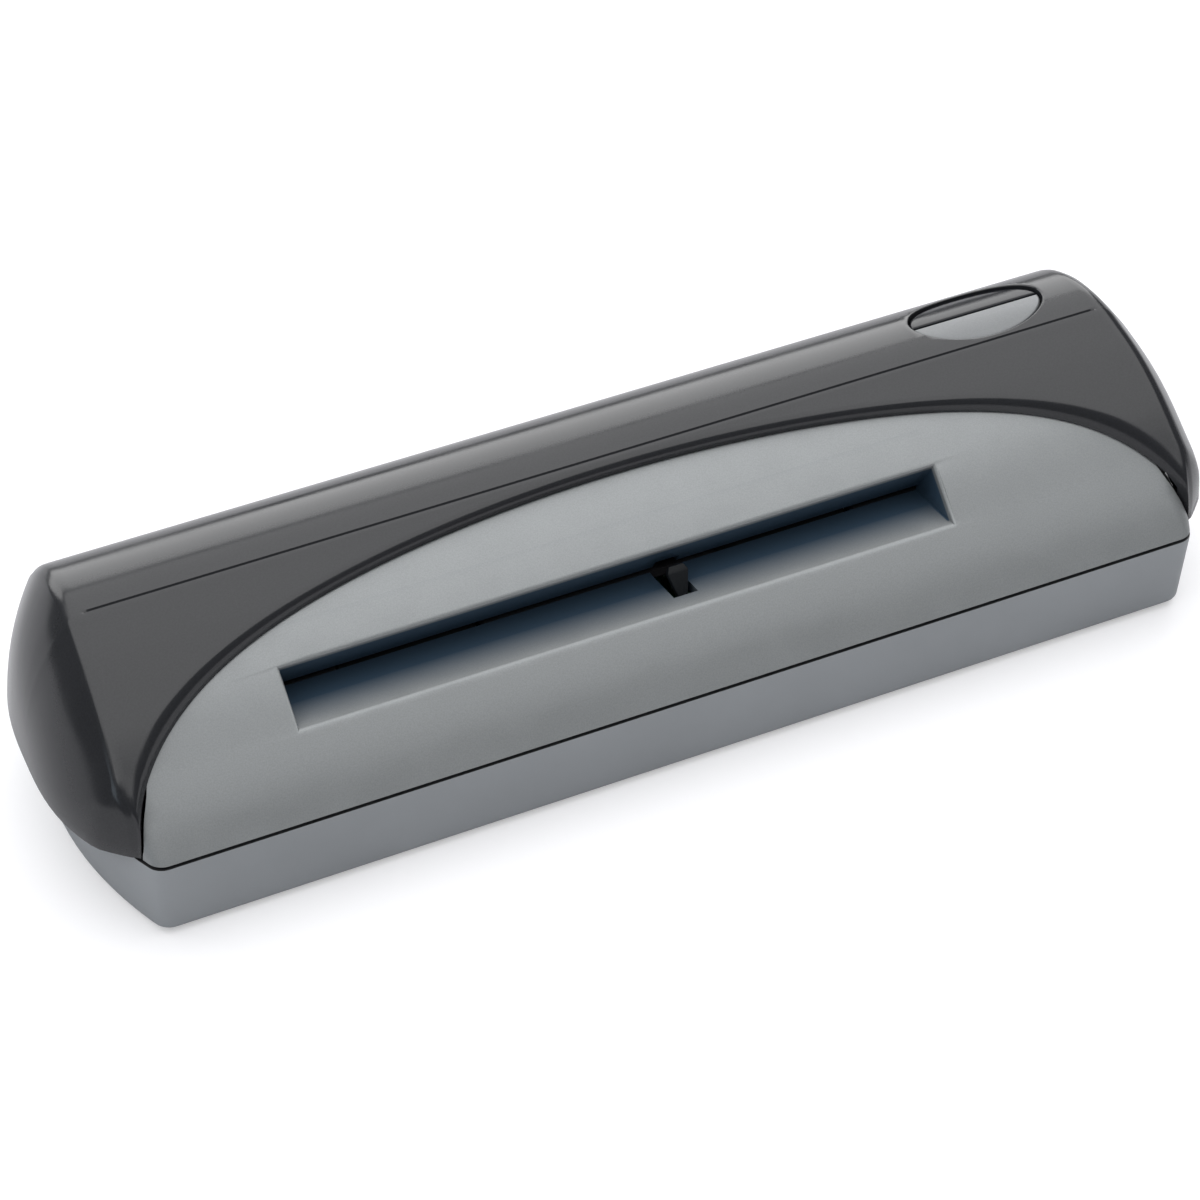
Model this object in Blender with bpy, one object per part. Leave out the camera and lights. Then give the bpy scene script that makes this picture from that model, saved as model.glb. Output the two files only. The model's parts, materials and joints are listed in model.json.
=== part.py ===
"""A sheet-fed card scanner, modelled piece by piece in metres, +Z up.

The front, with the card slot, faces -Y. The origin lies under the middle of the case, on the
surface that the four rubber feet stand on.
"""

import math

import bmesh
import bpy
from mathutils import Matrix, Vector

MM = 0.001

# General clearances
GAP = 0.3 * MM
OVERRUN = 6.0 * MM
WIDE = 130.0 * MM

# Case: overall sizes
DEPTH = 56.0 * MM
TOP_HEIGHT = 39.6 * MM
PARTING_HEIGHT = 14.5 * MM
PARTING_GROOVE = 0.4 * MM
CASE_HALF_LENGTH = 85.3 * MM
END_BOW = 6.0 * MM
FRONT_CORNER = 3.6 * MM
REAR_CORNER = 5.0 * MM
CASE_WALL = 2.0 * MM
FOOT_STAND = 0.8 * MM

# Base
BASE_DRAFT = 1.0 * MM
BASE_EDGE_ROUND = 1.6 * MM
BASE_EDGE_STEPS = 3
BASE_FLOOR = 2.0 * MM
BASE_LIP_HEIGHT = 2.2 * MM
BASE_LIP_WALL = 1.4 * MM
BASE_LIP_INSET = 0.8 * MM
LIP_START_SHARE = 1 / 3

# Cover
COVER_WALL = 1.7 * MM
COVER_STAND = COVER_WALL + GAP
COVER_TIP_SETBACK = 3.2 * MM
RIM_ROUND = 1.1 * MM
RIM_FRONT_X = 88.8 * MM
RIM_REAR_X = 85.2 * MM
RIM_LEAN = 1.5 * MM
DOME_BULGE = 7.6 * MM
DOME_POWER = 2.8
ARCH_HALF_WIDTH = 86.6 * MM
ARCH_DEPTH = 27.8 * MM
TUCK = 2.8 * MM
TUCK_NARROWING = 3.1 * MM
PANEL_LEAN = 3.85 * MM
PANEL_REACH_SHARE = 1.1

# Card slot and card path
PATH_CENTRE = -5.9 * MM
SLOT_WIDTH = 107.0 * MM
LIP_SHARE = 0.163
MOUTH_SHARE = 0.1296
FUNNEL_SHARE = 0.0741
FUNNEL_WALL = 1.5 * MM
FLOOR_DROP = 1.8 * MM
THROAT = 1.6 * MM
THROAT_RUN = 0.8 * MM
EXIT_WIDTH = 110.0 * MM
EXIT_HEIGHT = 4.8 * MM

# Rollers: the distance between the feed and the exit roller sets their sizes
SPAN_SHARE = 1 / 3
FEED_SHARE = 0.1
SHAFT_RADIUS = 2.0 * MM
SHAFT_END = 1.5 * MM
GEAR_END = 0.2 * MM
SLEEVE_SHARE = 1 / 4
SLEEVE_LENGTH = 22.0 * MM
SLEEVE_SPACING = 62.0 * MM
PINCH_SHARE = 1 / 6
PINCH_LENGTH = 18.0 * MM
PINCH_AXLE_SHARE = 1 / 3

# Scan frame and guides
PLATE_THICKNESS = 1.5 * MM
PLATE_CLEARANCE = 1.8 * MM
PLATE_TOP_SHARE = 0.671
PLATE_SHOULDER_SHARE = 0.26
PLATE_SETBACK = 5.7 * MM
PLATE_REAR_SETBACK = 4.0 * MM
PLATE_CHAMFER = 7.5 * MM
GUIDE_THICKNESS = 1.4 * MM
GUIDE_DROP = 0.2 * MM
GUIDE_REAR_SETBACK = 2.5 * MM
UPPER_GUIDE_SHARE = 0.7
UPPER_GUIDE_STRIP = 1.6 * MM
UPPER_GUIDE_REAR_SETBACK = 3.5 * MM
GUIDE_TAB_WIDTH = 2.4 * MM
WINDOW_MARGIN = 0.8 * MM
STRIP_THICKNESS = 0.6 * MM
STRIP_DEPTH = 6.0 * MM
BUSH_WALL = 1.2 * MM
BUSH_FLANGE = 0.6 * MM
BUSH_FLANGE_REACH = 1.0 * MM

# Image sensor
SENSOR_LENGTH = 108.0 * MM
SENSOR_HEIGHT = 9.4 * MM
SENSOR_DROP = 0.2 * MM
SENSOR_PIN_RADIUS = 1.0 * MM
SENSOR_PIN_RISE = 3.0 * MM
GLASS_MARGIN = 1.4 * MM
GLASS_THICKNESS = 1.0 * MM

# Gears: tooth counts, face width and clearances
DRIVE_TEETH = 24
IDLER_TEETH = 12
SMALL_TEETH = 14
LARGE_TEETH = 32
PINION_TEETH = 10
FACE_WIDTH = 2.6 * MM
GEAR_PIN_RADIUS = 1.0 * MM
GEAR_PIN_BORE = GEAR_PIN_RADIUS + GAP
ADDENDUM_SHARE = 0.9
DEDENDUM_SHARE = 1.15
ROOT_HALF_SHARE = 0.31
TIP_HALF_SHARE = 0.12
REDUCTION_STAND = 2.0 * MM
MOTOR_STAND = 0.4 * MM
GEAR_CLEARANCE = 0.6 * MM
FLANGE_CLEARANCE = 0.9 * MM

# Motor
MOTOR_RADIUS = 5.6 * MM
MOTOR_LENGTH = 12.2 * MM
MOTOR_SHAFT_RADIUS = 0.8 * MM
MOTOR_SHAFT_DEPTH = 3.3 * MM
MOTOR_BOSS_RADIUS = 2.0 * MM
MOTOR_BOSS_LENGTH = 0.8 * MM
END_CAP_LENGTH = 2.5 * MM
TERMINAL_WIDTH = 1.4 * MM
TERMINAL_THICKNESS = 0.4 * MM
TERMINAL_LENGTH = 1.8 * MM
TERMINAL_SPACING = 6.0 * MM
BRACKET_THICKNESS = 1.2 * MM
BRACKET_MARGIN = 2.6 * MM
BRACKET_HEAD = 5.2 * MM
BRACKET_RETURN_HEAD = 1.7 * MM

# Boards
BOARD_THICKNESS = 1.2 * MM
BOARD_STANDOFF = 2.4 * MM
BOARD_POST_RADIUS = 2.5 * MM
BOARD_LENGTH = 100.0 * MM
BOARD_SHARE = 0.7037
BOARD_CLEARANCE = 1.2 * MM
SOCKET_WIDTH = 7.7 * MM
SOCKET_HEIGHT = 3.9 * MM
SOCKET_DEPTH = 8.6 * MM
SOCKET_WALL = 0.5 * MM
TONGUE_THICKNESS = 1.0 * MM
TONGUE_LENGTH = 5.5 * MM
TONGUE_ROOT = 1.8 * MM
SOCKET_X = -42.0 * MM

# Parts on the main board: place along X, place along Y, length, depth, height
BOARD_PARTS = {
    "controller_chip": (-18.0 * MM, 4.0 * MM, 14.0 * MM, 14.0 * MM, 1.2 * MM),
    "memory_chip": (2.0 * MM, 5.0 * MM, 10.0 * MM, 6.0 * MM, 1.2 * MM),
    "sensor_connector": (-46.0 * MM, 0.0 * MM, 4.0 * MM, 16.0 * MM, 3.2 * MM),
    "motor_connector": (40.0 * MM, -6.0 * MM, 4.5 * MM, 6.0 * MM, 4.6 * MM),
}
CAPACITOR_X = 8.5 * MM
CAPACITOR_Y = 12.0 * MM
CAPACITOR_RADIUS = 3.0 * MM
CAPACITOR_HEIGHT = 5.4 * MM
CAPACITOR_BEVEL = 0.4 * MM
CARD_SENSOR_LENGTH = 6.4 * MM
CARD_SENSOR_DEPTH = 4.2 * MM
CARD_SENSOR_HEIGHT = 6.4 * MM
CARD_SENSOR_SLOT = 2.6 * MM
CARD_SENSOR_SOLE = 1.4 * MM

# Oval on the cover: scan button in front, status window behind
OVAL_X = 66.6 * MM
OVAL_SHARE = 0.6972
OVAL_HALF_LENGTH = 11.0 * MM
OVAL_HALF_SHARE = 0.1213
OVAL_SINK = 0.5 * MM
OVAL_PLATE = 1.4 * MM
OVAL_FLANGE = 0.9 * MM
BUTTON_STEM_RADIUS = 1.6 * MM
BUTTON_STEM_LENGTH = 3.0 * MM
BUTTON_STEM_SHARE = 0.42
SWITCH_SIZE = 6.0 * MM
SWITCH_HEIGHT = 3.4 * MM
PLUNGER_RADIUS = 1.5 * MM
PLUNGER_LENGTH = 2.4 * MM
PLUNGER_SHOWN = 1.3 * MM
BUTTON_BOARD_LEFT = 12.7 * MM
BUTTON_BOARD_RIGHT = 8.9 * MM
BUTTON_BOARD_MARGIN = 4.4 * MM
BUTTON_POST_RADIUS = 1.6 * MM
BUTTON_POST_LEFT = 10.5 * MM
BUTTON_POST_RIGHT = 6.5 * MM
BUTTON_POST_MARGIN = 2.6 * MM
BUTTON_POST_PIN = 0.8 * MM
LED_LENGTH = 3.0 * MM
LED_DEPTH = 1.6 * MM
LED_HEIGHT = 1.0 * MM

# Card sensing lever
LEVER_X = 4.1 * MM
LEVER_WIDTH = 1.4 * MM
LEVER_TIP_WIDTH = 3.4 * MM
LEVER_HUB_RADIUS = 1.5 * MM
LEVER_STUB_RADIUS = 0.9 * MM
LEVER_STUB_LENGTH = 1.3 * MM
LEVER_REACH = 8.6 * MM
LEVER_THICKNESS = 1.2 * MM
LEVER_TAPER_START = 3.6 * MM
LEVER_FLAG_CLEARANCE = 2.6 * MM
LEVER_FLAG_DEPTH = 1.8 * MM
LEVER_LEAN = math.radians(30)
LEVER_FLAG_LEAN = math.radians(154)
LEVER_EAR_THICKNESS = 1.3 * MM
LEVER_SLIT_MARGIN = 1.3 * MM

# Fasteners and feet
SCREW_HEAD_RADIUS = 2.9 * MM
SCREW_HEAD_HEIGHT = 1.6 * MM
SCREW_RADIUS = 1.2 * MM
SCREW_LENGTH = 11.0 * MM
SCREW_TIP = 1.0 * MM
BOSS_WALL = 0.9 * MM
BOSS_TOP = 9.0 * MM
SCREW_SEAT = 2.0 * MM
DRIVE_RECESS_RADIUS = 1.1 * MM
DRIVE_RECESS_DEPTH = 0.8 * MM
DRIVE_ARM_SHARE = 1 / 3
POST_RADIUS = 3.0 * MM
FRONT_SCREW_X = 66.0 * MM
REAR_SCREW_X = 83.0 * MM
FRONT_SCREW_SETBACK = 9.0 * MM
REAR_SCREW_SETBACK = 17.0 * MM
FOOT_RADIUS = 4.0 * MM
FOOT_RECESS = 0.8 * MM
FOOT_BEVEL = 0.4 * MM
FRONT_FOOT_X = 79.5 * MM
REAR_FOOT_X = 66.0 * MM
FOOT_SETBACK = 10.5 * MM

# Section of the case across its length, from the front parting edge over the top to the rear
# one: share of the case's depth, share of its rise. The crease lies between the two runs.
FRONT_SECTION_SHARES = (
    (0.0, 0.0), (0.070, 0.190), (0.161, 0.398), (0.291, 0.675), (0.410, 0.850), (0.548, 0.968),
)
REAR_SECTION_SHARES = (
    (0.548, 0.968), (0.640, 0.990), (0.735, 0.958), (0.820, 0.865), (0.900, 0.680),
    (0.958, 0.430), (0.990, 0.180), (1.0, 0.0),
)
DOME_RING_SHARES = (0.98, 0.92, 0.82, 0.68, 0.46, 0.16)

# Derived places
FRONT_Y = -DEPTH / 2
REAR_Y = DEPTH / 2 - COVER_STAND
CASE_DEPTH = REAR_Y - FRONT_Y
RISE = TOP_HEIGHT - COVER_STAND - PARTING_HEIGHT
LIP_Y = FRONT_Y + CASE_DEPTH * LIP_SHARE
MOUTH_Y = LIP_Y + CASE_DEPTH * MOUTH_SHARE
THROAT_Y = MOUTH_Y + CASE_DEPTH * FUNNEL_SHARE
FLOOR_TOP = FOOT_STAND + BASE_FLOOR
TUCK_HALF_WIDTH = ARCH_HALF_WIDTH - TUCK_NARROWING
SPAN = CASE_DEPTH * SPAN_SHARE
SLEEVE_RADIUS = SPAN * SLEEVE_SHARE
PINCH_RADIUS = SPAN * PINCH_SHARE
PINCH_AXLE_RADIUS = PINCH_RADIUS * PINCH_AXLE_SHARE
PINCH_BORE_RADIUS = PINCH_AXLE_RADIUS + GAP
SENSOR_DEPTH = SPAN - 2 * (PINCH_RADIUS + WINDOW_MARGIN)
UPPER_GUIDE_THICKNESS = PINCH_AXLE_RADIUS * UPPER_GUIDE_SHARE
GEAR_MODULE = SPAN / (DRIVE_TEETH + IDLER_TEETH)
PLATE_TOP = PARTING_HEIGHT + RISE * PLATE_TOP_SHARE
PLATE_SHOULDER = RISE * PLATE_SHOULDER_SHARE
OVAL_Y = FRONT_Y + CASE_DEPTH * OVAL_SHARE
OVAL_HALF_DEPTH = CASE_DEPTH * OVAL_HALF_SHARE
BUTTON_BOARD_HALF_DEPTH = OVAL_HALF_DEPTH + BUTTON_BOARD_MARGIN
BUTTON_POST_REACH = OVAL_HALF_DEPTH + BUTTON_POST_MARGIN


def smooth_curve(points, steps):
    """Points along a smooth curve that passes through each of the given points."""
    curve = []
    for i in range(len(points) - 1):
        before = points[max(i - 1, 0)]
        start, end = points[i], points[i + 1]
        after = points[min(i + 2, len(points) - 1)]
        for step in range(steps):
            t = step / steps
            curve.append(tuple(
                0.5 * (2 * s + (e - b) * t + (2 * b - 5 * s + 4 * e - a) * t * t
                       + (3 * s - b - 3 * e + a) * t * t * t)
                for b, s, e, a in zip(before, start, end, after)
            ))
    curve.append(points[-1])
    return curve


def moved_outwards(points, distance):
    """An open line of points moved to its left-hand side, here the outside of the case."""
    moved = []
    for i, (y, z) in enumerate(points):
        y0, z0 = points[max(i - 1, 0)]
        y1, z1 = points[min(i + 1, len(points) - 1)]
        run = math.hypot(y1 - y0, z1 - z0)
        moved.append((y - (z1 - z0) / run * distance, z + (y1 - y0) / run * distance))
    return moved


def case_section(stand=0.0, steps=3):
    """The case's outer line across its length, moved outwards by stand: (y, z) points."""
    shares = smooth_curve(FRONT_SECTION_SHARES, steps)[:-1]
    shares += smooth_curve(REAR_SECTION_SHARES, steps)
    line = [(FRONT_Y + y * CASE_DEPTH, PARTING_HEIGHT + z * RISE) for y, z in shares]
    return moved_outwards(line, stand)


def section_height(y, stand=0.0):
    """Height of the case's outer line at the place y."""
    line = case_section(stand)
    for (y0, z0), (y1, z1) in zip(line, line[1:]):
        if y0 <= y <= y1:
            return z0 + (z1 - z0) * (y - y0) / (y1 - y0)
    raise ValueError("the place lies outside the case's section")


LIP_Z = section_height(LIP_Y)
MOUTH_Z = section_height(MOUTH_Y)
THROAT_LOW = LIP_Z - FLOOR_DROP
THROAT_HIGH = THROAT_LOW + THROAT
CONTACT_Z = THROAT_LOW + THROAT / 2 - GAP
GUIDE_TOP = THROAT_LOW - GUIDE_DROP
UPPER_GUIDE_LOW = THROAT_HIGH + GUIDE_DROP
DRIVE_Z = CONTACT_Z - SLEEVE_RADIUS
PINCH_Z = CONTACT_Z + GAP + PINCH_RADIUS
FEED_Y = THROAT_Y + THROAT_RUN + CASE_DEPTH * FEED_SHARE
SENSOR_LOW = THROAT_HIGH - SENSOR_DROP
SENSOR_PIN_Z = SENSOR_LOW + SENSOR_PIN_RISE
SENSOR_Y = FEED_Y + SPAN / 2
EXIT_Y = FEED_Y + SPAN
PLATE_INNER = SLOT_WIDTH / 2 + FUNNEL_WALL + PLATE_CLEARANCE
PLATE_OUTER = PLATE_INNER + PLATE_THICKNESS
GUIDE_HALF_LENGTH = PLATE_INNER - GAP
GEAR_PLANE = PATH_CENTRE + PLATE_OUTER + BUSH_FLANGE + FLANGE_CLEARANCE
LARGE_PLANE = GEAR_PLANE + FACE_WIDTH + GEAR_CLEARANCE
BRACKET_X = LARGE_PLANE + FACE_WIDTH + GEAR_CLEARANCE
MOTOR_X = BRACKET_X + BRACKET_THICKNESS + GAP
BOARD_LOW = FLOOR_TOP + BOARD_STANDOFF + GAP
BOARD_TOP = BOARD_LOW + BOARD_THICKNESS
BOARD_REAR = REAR_Y - BASE_DRAFT - CASE_WALL - BOARD_CLEARANCE
BOARD_FRONT = BOARD_REAR - CASE_DEPTH * BOARD_SHARE
GUIDE_FRONT = THROAT_Y + THROAT_RUN + GAP
GUIDE_REAR = REAR_Y - GUIDE_REAR_SETBACK
SENSOR_FRONT = SENSOR_Y - SENSOR_DEPTH / 2
SENSOR_REAR = SENSOR_Y + SENSOR_DEPTH / 2
SCREW_SEAT_Z = BOSS_TOP - SCREW_SEAT


def pitch_radius(teeth):
    return GEAR_MODULE * teeth / 2


# The large gear and the motor stand just clear of the base's floor, so their heights set at
# what angle each lies from the gear that it meshes with.
REDUCTION_REACH = pitch_radius(DRIVE_TEETH) + pitch_radius(SMALL_TEETH)
REDUCTION_Z = FLOOR_TOP + REDUCTION_STAND + pitch_radius(LARGE_TEETH) + ADDENDUM_SHARE * GEAR_MODULE
REDUCTION_ANGLE = math.pi + math.asin((DRIVE_Z - REDUCTION_Z) / REDUCTION_REACH)
REDUCTION_Y = FEED_Y + REDUCTION_REACH * math.cos(REDUCTION_ANGLE)
MOTOR_REACH = pitch_radius(LARGE_TEETH) + pitch_radius(PINION_TEETH)
MOTOR_Z = FLOOR_TOP + MOTOR_STAND + MOTOR_RADIUS
MOTOR_ANGLE = math.asin((MOTOR_Z - REDUCTION_Z) / MOTOR_REACH)
MOTOR_Y = REDUCTION_Y + MOTOR_REACH * math.cos(MOTOR_ANGLE)


def button_stem_y():
    return OVAL_Y - OVAL_HALF_DEPTH * BUTTON_STEM_SHARE


FLANGE_LOW = section_height(button_stem_y()) - OVAL_FLANGE
STEM_LOW = FLANGE_LOW - BUTTON_STEM_LENGTH
PLUNGER_TOP = STEM_LOW - GAP
SWITCH_TOP = PLUNGER_TOP - PLUNGER_SHOWN
BUTTON_BOARD_TOP = SWITCH_TOP - SWITCH_HEIGHT - GAP


def clear_scene():
    for obj in list(bpy.data.objects):
        bpy.data.objects.remove(obj, do_unlink=True)


def material(name, colour, roughness, metallic=0.0):
    """The Principled material of one kind of surface, made once."""
    found = bpy.data.materials.get(name)
    if found:
        return found
    made = bpy.data.materials.new(name)
    made.use_nodes = True
    shader = made.node_tree.nodes["Principled BSDF"]
    shader.inputs["Base Color"].default_value = (*colour, 1.0)
    shader.inputs["Roughness"].default_value = roughness
    shader.inputs["Metallic"].default_value = metallic
    return made


def finish(name, bm, surface=None, smooth=False):
    """Turns bm into an object; without a surface it is a hidden helper."""
    bmesh.ops.recalc_face_normals(bm, faces=bm.faces)
    mesh = bpy.data.meshes.new(name)
    bm.to_mesh(mesh)
    bm.free()
    obj = bpy.data.objects.new(name, mesh)
    bpy.context.scene.collection.objects.link(obj)
    if surface:
        mesh.materials.append(surface)
    else:
        obj.hide_render = True
        obj.display_type = "WIRE"
    if smooth:
        mesh.shade_smooth()
        mesh.set_sharp_from_angle(angle=math.radians(35))
    return obj


def move_origin(obj, point):
    """Puts the origin of an object on its joint's axis and leaves its shape where it is."""
    obj.data.transform(Matrix.Translation(-Vector(point)))
    obj.location = point
    return obj


def spanned(rings):
    """A closed surface through rings of equally many points, with flat ends."""
    bm = bmesh.new()
    rows = [[bm.verts.new(point) for point in ring] for ring in rings]
    for lower, upper in zip(rows, rows[1:]):
        count = len(lower)
        for i in range(count):
            j = (i + 1) % count
            bm.faces.new((lower[i], lower[j], upper[j], upper[i]))
    bm.faces.new(rows[0])
    bm.faces.new(rows[-1])
    return bm


def along_x(outline, low, high):
    """An outline of (y, z) points extruded from x = low to x = high."""
    return spanned([[(x, y, z) for y, z in outline] for x in (low, high)])


def along_y(outline, low, high):
    """An outline of (x, z) points extruded from y = low to y = high."""
    return spanned([[(x, y, z) for x, z in outline] for y in (low, high)])


def along_z(outline, low, high):
    """An outline of (x, y) points extruded from z = low to z = high."""
    return spanned([[(x, y, z) for x, y in outline] for z in (low, high)])


def box(low, high):
    outline = [(low[0], low[1]), (high[0], low[1]), (high[0], high[1]), (low[0], high[1])]
    return along_z(outline, low[2], high[2])


def circle(centre, radius, sides, start=0.0):
    return [
        (centre[0] + radius * math.cos(start + math.tau * i / sides),
         centre[1] + radius * math.sin(start + math.tau * i / sides))
        for i in range(sides)
    ]


def turned(profile, centre, sides=24, axis="x"):
    """A closed profile of (place along the axis, radius) points turned about the axis."""
    bm = bmesh.new()
    rows = []
    for i in range(sides):
        angle = math.tau * i / sides
        row = []
        for place, radius in profile:
            a, b = radius * math.cos(angle), radius * math.sin(angle)
            if axis == "x":
                row.append(bm.verts.new((place, centre[0] + a, centre[1] + b)))
            else:
                row.append(bm.verts.new((centre[0] + a, centre[1] + b, place)))
        rows.append(row)
    for one, two in zip(rows, rows[1:] + rows[:1]):
        count = len(one)
        for i in range(count):
            j = (i + 1) % count
            bm.faces.new((one[i], two[i], two[j], one[j]))
    return bm


def rod(centre, radius, low, high, sides=24, axis="x"):
    outline = circle(centre, radius, sides)
    return along_x(outline, low, high) if axis == "x" else along_z(outline, low, high)


def ring(centre, outer, inner, low, high, sides=24, axis="x"):
    """A tube with flat ends."""
    return turned([(low, outer), (high, outer), (high, inner), (low, inner)], centre, sides, axis)


def rounded(corners, radius, steps=4):
    """A closed outline with each corner replaced by an arc."""
    outline = []
    count = len(corners)
    for i, corner in enumerate(corners):
        sides = []
        for other in (corners[i - 1], corners[(i + 1) % count]):
            dx, dy = other[0] - corner[0], other[1] - corner[1]
            run = math.hypot(dx, dy)
            sides.append((dx / run, dy / run))
        (ax, ay), (bx, by) = sides
        half = math.acos(max(-1.0, min(1.0, ax * bx + ay * by))) / 2
        if half > math.radians(80):
            outline.append(corner)
            continue
        size = radius[i] if isinstance(radius, (list, tuple)) else radius
        reach = size / math.tan(half)
        middle = (ax + bx, ay + by)
        length = math.hypot(*middle)
        centre = (corner[0] + middle[0] / length * size / math.sin(half),
                  corner[1] + middle[1] / length * size / math.sin(half))
        start = math.atan2(corner[1] + ay * reach - centre[1], corner[0] + ax * reach - centre[0])
        end = math.atan2(corner[1] + by * reach - centre[1], corner[0] + bx * reach - centre[0])
        sweep = (end - start + math.pi) % math.tau - math.pi
        for step in range(steps + 1):
            angle = start + sweep * step / steps
            outline.append((centre[0] + size * math.cos(angle), centre[1] + size * math.sin(angle)))
    return outline


def change(obj, other, operation):
    """Adds a Boolean with a helper to an object."""
    modifier = obj.modifiers.new(other.name, "BOOLEAN")
    modifier.operation = operation
    modifier.solver = "EXACT"
    modifier.object = other
    return obj


def cut(obj, bm, name):
    return change(obj, finish(name, bm), "DIFFERENCE")


def join(obj, bm, name):
    return change(obj, finish(name, bm), "UNION")


def keep(obj, bm, name):
    return change(obj, finish(name, bm), "INTERSECT")


def case_end_x(y):
    """Half length of the case at the place y: its ends bow outwards."""
    middle = (FRONT_Y + REAR_Y) / 2
    share = (y - middle) / (middle - FRONT_Y)
    return CASE_HALF_LENGTH + END_BOW * (1 - share * share)


def case_outline(inset, ends=8):
    """Plan outline of the base and the panel, with bowed ends, moved inwards by inset."""
    front, rear = FRONT_Y + inset, REAR_Y - inset
    levels = [front + (rear - front) * i / ends for i in range(ends + 1)]
    right = [(case_end_x(y) - inset, y) for y in levels]
    left = [(-x, y) for x, y in reversed(right)]
    corners = right + left
    radius = [0.0] * len(corners)
    radius[0] = radius[-1] = FRONT_CORNER
    radius[ends] = radius[ends + 1] = REAR_CORNER
    return rounded(corners, radius)


def case_rings(levels):
    """Rings of the case's plan outline at (height, inset) levels."""
    return spanned([[(x, y, z) for x, y in case_outline(inset)] for z, inset in levels])


def cover_front_y(x):
    """Front edge of the cover in plan: an arch between two straight tips."""
    share = min(abs(x) / ARCH_HALF_WIDTH, 1.0)
    return FRONT_Y + max(ARCH_DEPTH * math.sqrt(1 - share * share), COVER_TIP_SETBACK)


def rim_x(y):
    """Half length of the cover where its top meets its end faces."""
    straight = RIM_FRONT_X + (RIM_REAR_X - RIM_FRONT_X) * (y - FRONT_Y) / DEPTH
    return min(straight, case_end_x(y))


def panel_rear_y(x):
    """Rear edge of the panel in plan, tucked under the cover between its tips."""
    return cover_front_y(x) + min(max(TUCK_HALF_WIDTH - abs(x), -GAP), TUCK)


def plan_line(edge_y, steps=44):
    """Points of a plan edge from left to right, closer together near the ends."""
    places = [-ARCH_HALF_WIDTH * math.cos(math.pi * i / steps) for i in range(steps + 1)]
    return [(x, edge_y(x)) for x in places]


def cover_section(stand, front, low):
    """Closed section of the cover: the case's line moved out, cut off flat at its front."""
    line = case_section(stand)
    kept = [point for point in line if point[0] > front + GAP]
    first = line.index(kept[0])
    (y0, z0), (y1, z1) = line[first - 1], line[first]
    height = z0 + (z1 - z0) * (front - y0) / (y1 - y0)
    return [(front, low), (front, height), *kept[:-1], (kept[-1][0], PARTING_HEIGHT),
            (kept[-1][0], low)]


def domed_body(stand, wall, low):
    """The cover's outer form, or its hollow: a section between two domed ends."""
    front = FRONT_Y + COVER_TIP_SETBACK - GAP + wall
    section = cover_section(stand, front, low)
    middle = (section[0][0] + section[-1][0]) / 2
    rings = [(-wall - RIM_ROUND, 1.0)]
    for share in DOME_RING_SHARES:
        rings.append((DOME_BULGE * (1 - share ** DOME_POWER) - wall, share))

    def ring_at(side, beyond, share):
        points = []
        for section_y, z in section:
            y = middle + (section_y - middle) * share
            height = max(z - PARTING_HEIGHT, 0.0) * share
            below = min(z - PARTING_HEIGHT, 0.0)
            place = rim_x(y) + beyond - RIM_LEAN * height / RISE
            points.append((side * place, y, PARTING_HEIGHT + height + below))
        return points

    left = [ring_at(-1, place, share) for place, share in reversed(rings)]
    right = [ring_at(1, place, share) for place, share in rings]
    return spanned(left + right)


def oval(half_length, half_depth, part, sides=32):
    """The oval on the cover in plan, or only its front or rear part."""
    whole = [
        (OVAL_X + half_length * math.cos(math.tau * i / sides),
         OVAL_Y + half_depth * math.sin(math.tau * i / sides))
        for i in range(sides)
    ]
    if part == 0:
        return whole
    split = OVAL_Y + GAP / 2 * part
    side = [point for point in whole if (point[1] - OVAL_Y) * part > GAP]
    half = (half_length - GAP) * part
    return [(OVAL_X + half, split), *side, (OVAL_X - half, split)]


def screw_places():
    front, rear = FRONT_Y + FRONT_SCREW_SETBACK, REAR_Y + COVER_STAND - REAR_SCREW_SETBACK
    return {
        "front_left": (-FRONT_SCREW_X, front), "front_right": (FRONT_SCREW_X, front),
        "rear_left": (-REAR_SCREW_X, rear), "rear_right": (REAR_SCREW_X, rear),
    }


def foot_places():
    front, rear = FRONT_Y + FOOT_SETBACK, REAR_Y + COVER_STAND - FOOT_SETBACK
    return {
        "front_left": (-FRONT_FOOT_X, front), "front_right": (FRONT_FOOT_X, front),
        "rear_left": (-REAR_FOOT_X, rear), "rear_right": (REAR_FOOT_X, rear),
    }


def make_base():
    top = PARTING_HEIGHT - PARTING_GROOVE
    levels = []
    for i in range(BASE_EDGE_STEPS + 1):
        angle = math.pi / 2 * i / BASE_EDGE_STEPS
        height = FOOT_STAND + BASE_EDGE_ROUND * (1 - math.cos(angle))
        levels.append((height, BASE_DRAFT + BASE_EDGE_ROUND * (1 - math.sin(angle))))
    levels.append((top, 0.0))
    grey = material("case_grey", (0.22, 0.225, 0.24), 0.45)
    base = finish("base", case_rings(levels), grey, smooth=True)
    hollow = [(FLOOR_TOP, BASE_DRAFT + CASE_WALL), (top + OVERRUN, CASE_WALL)]
    cut(base, case_rings(hollow), "base_hollow")
    add_base_lip(base, top)
    add_base_posts(base)
    cut_base_openings(base)


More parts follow.
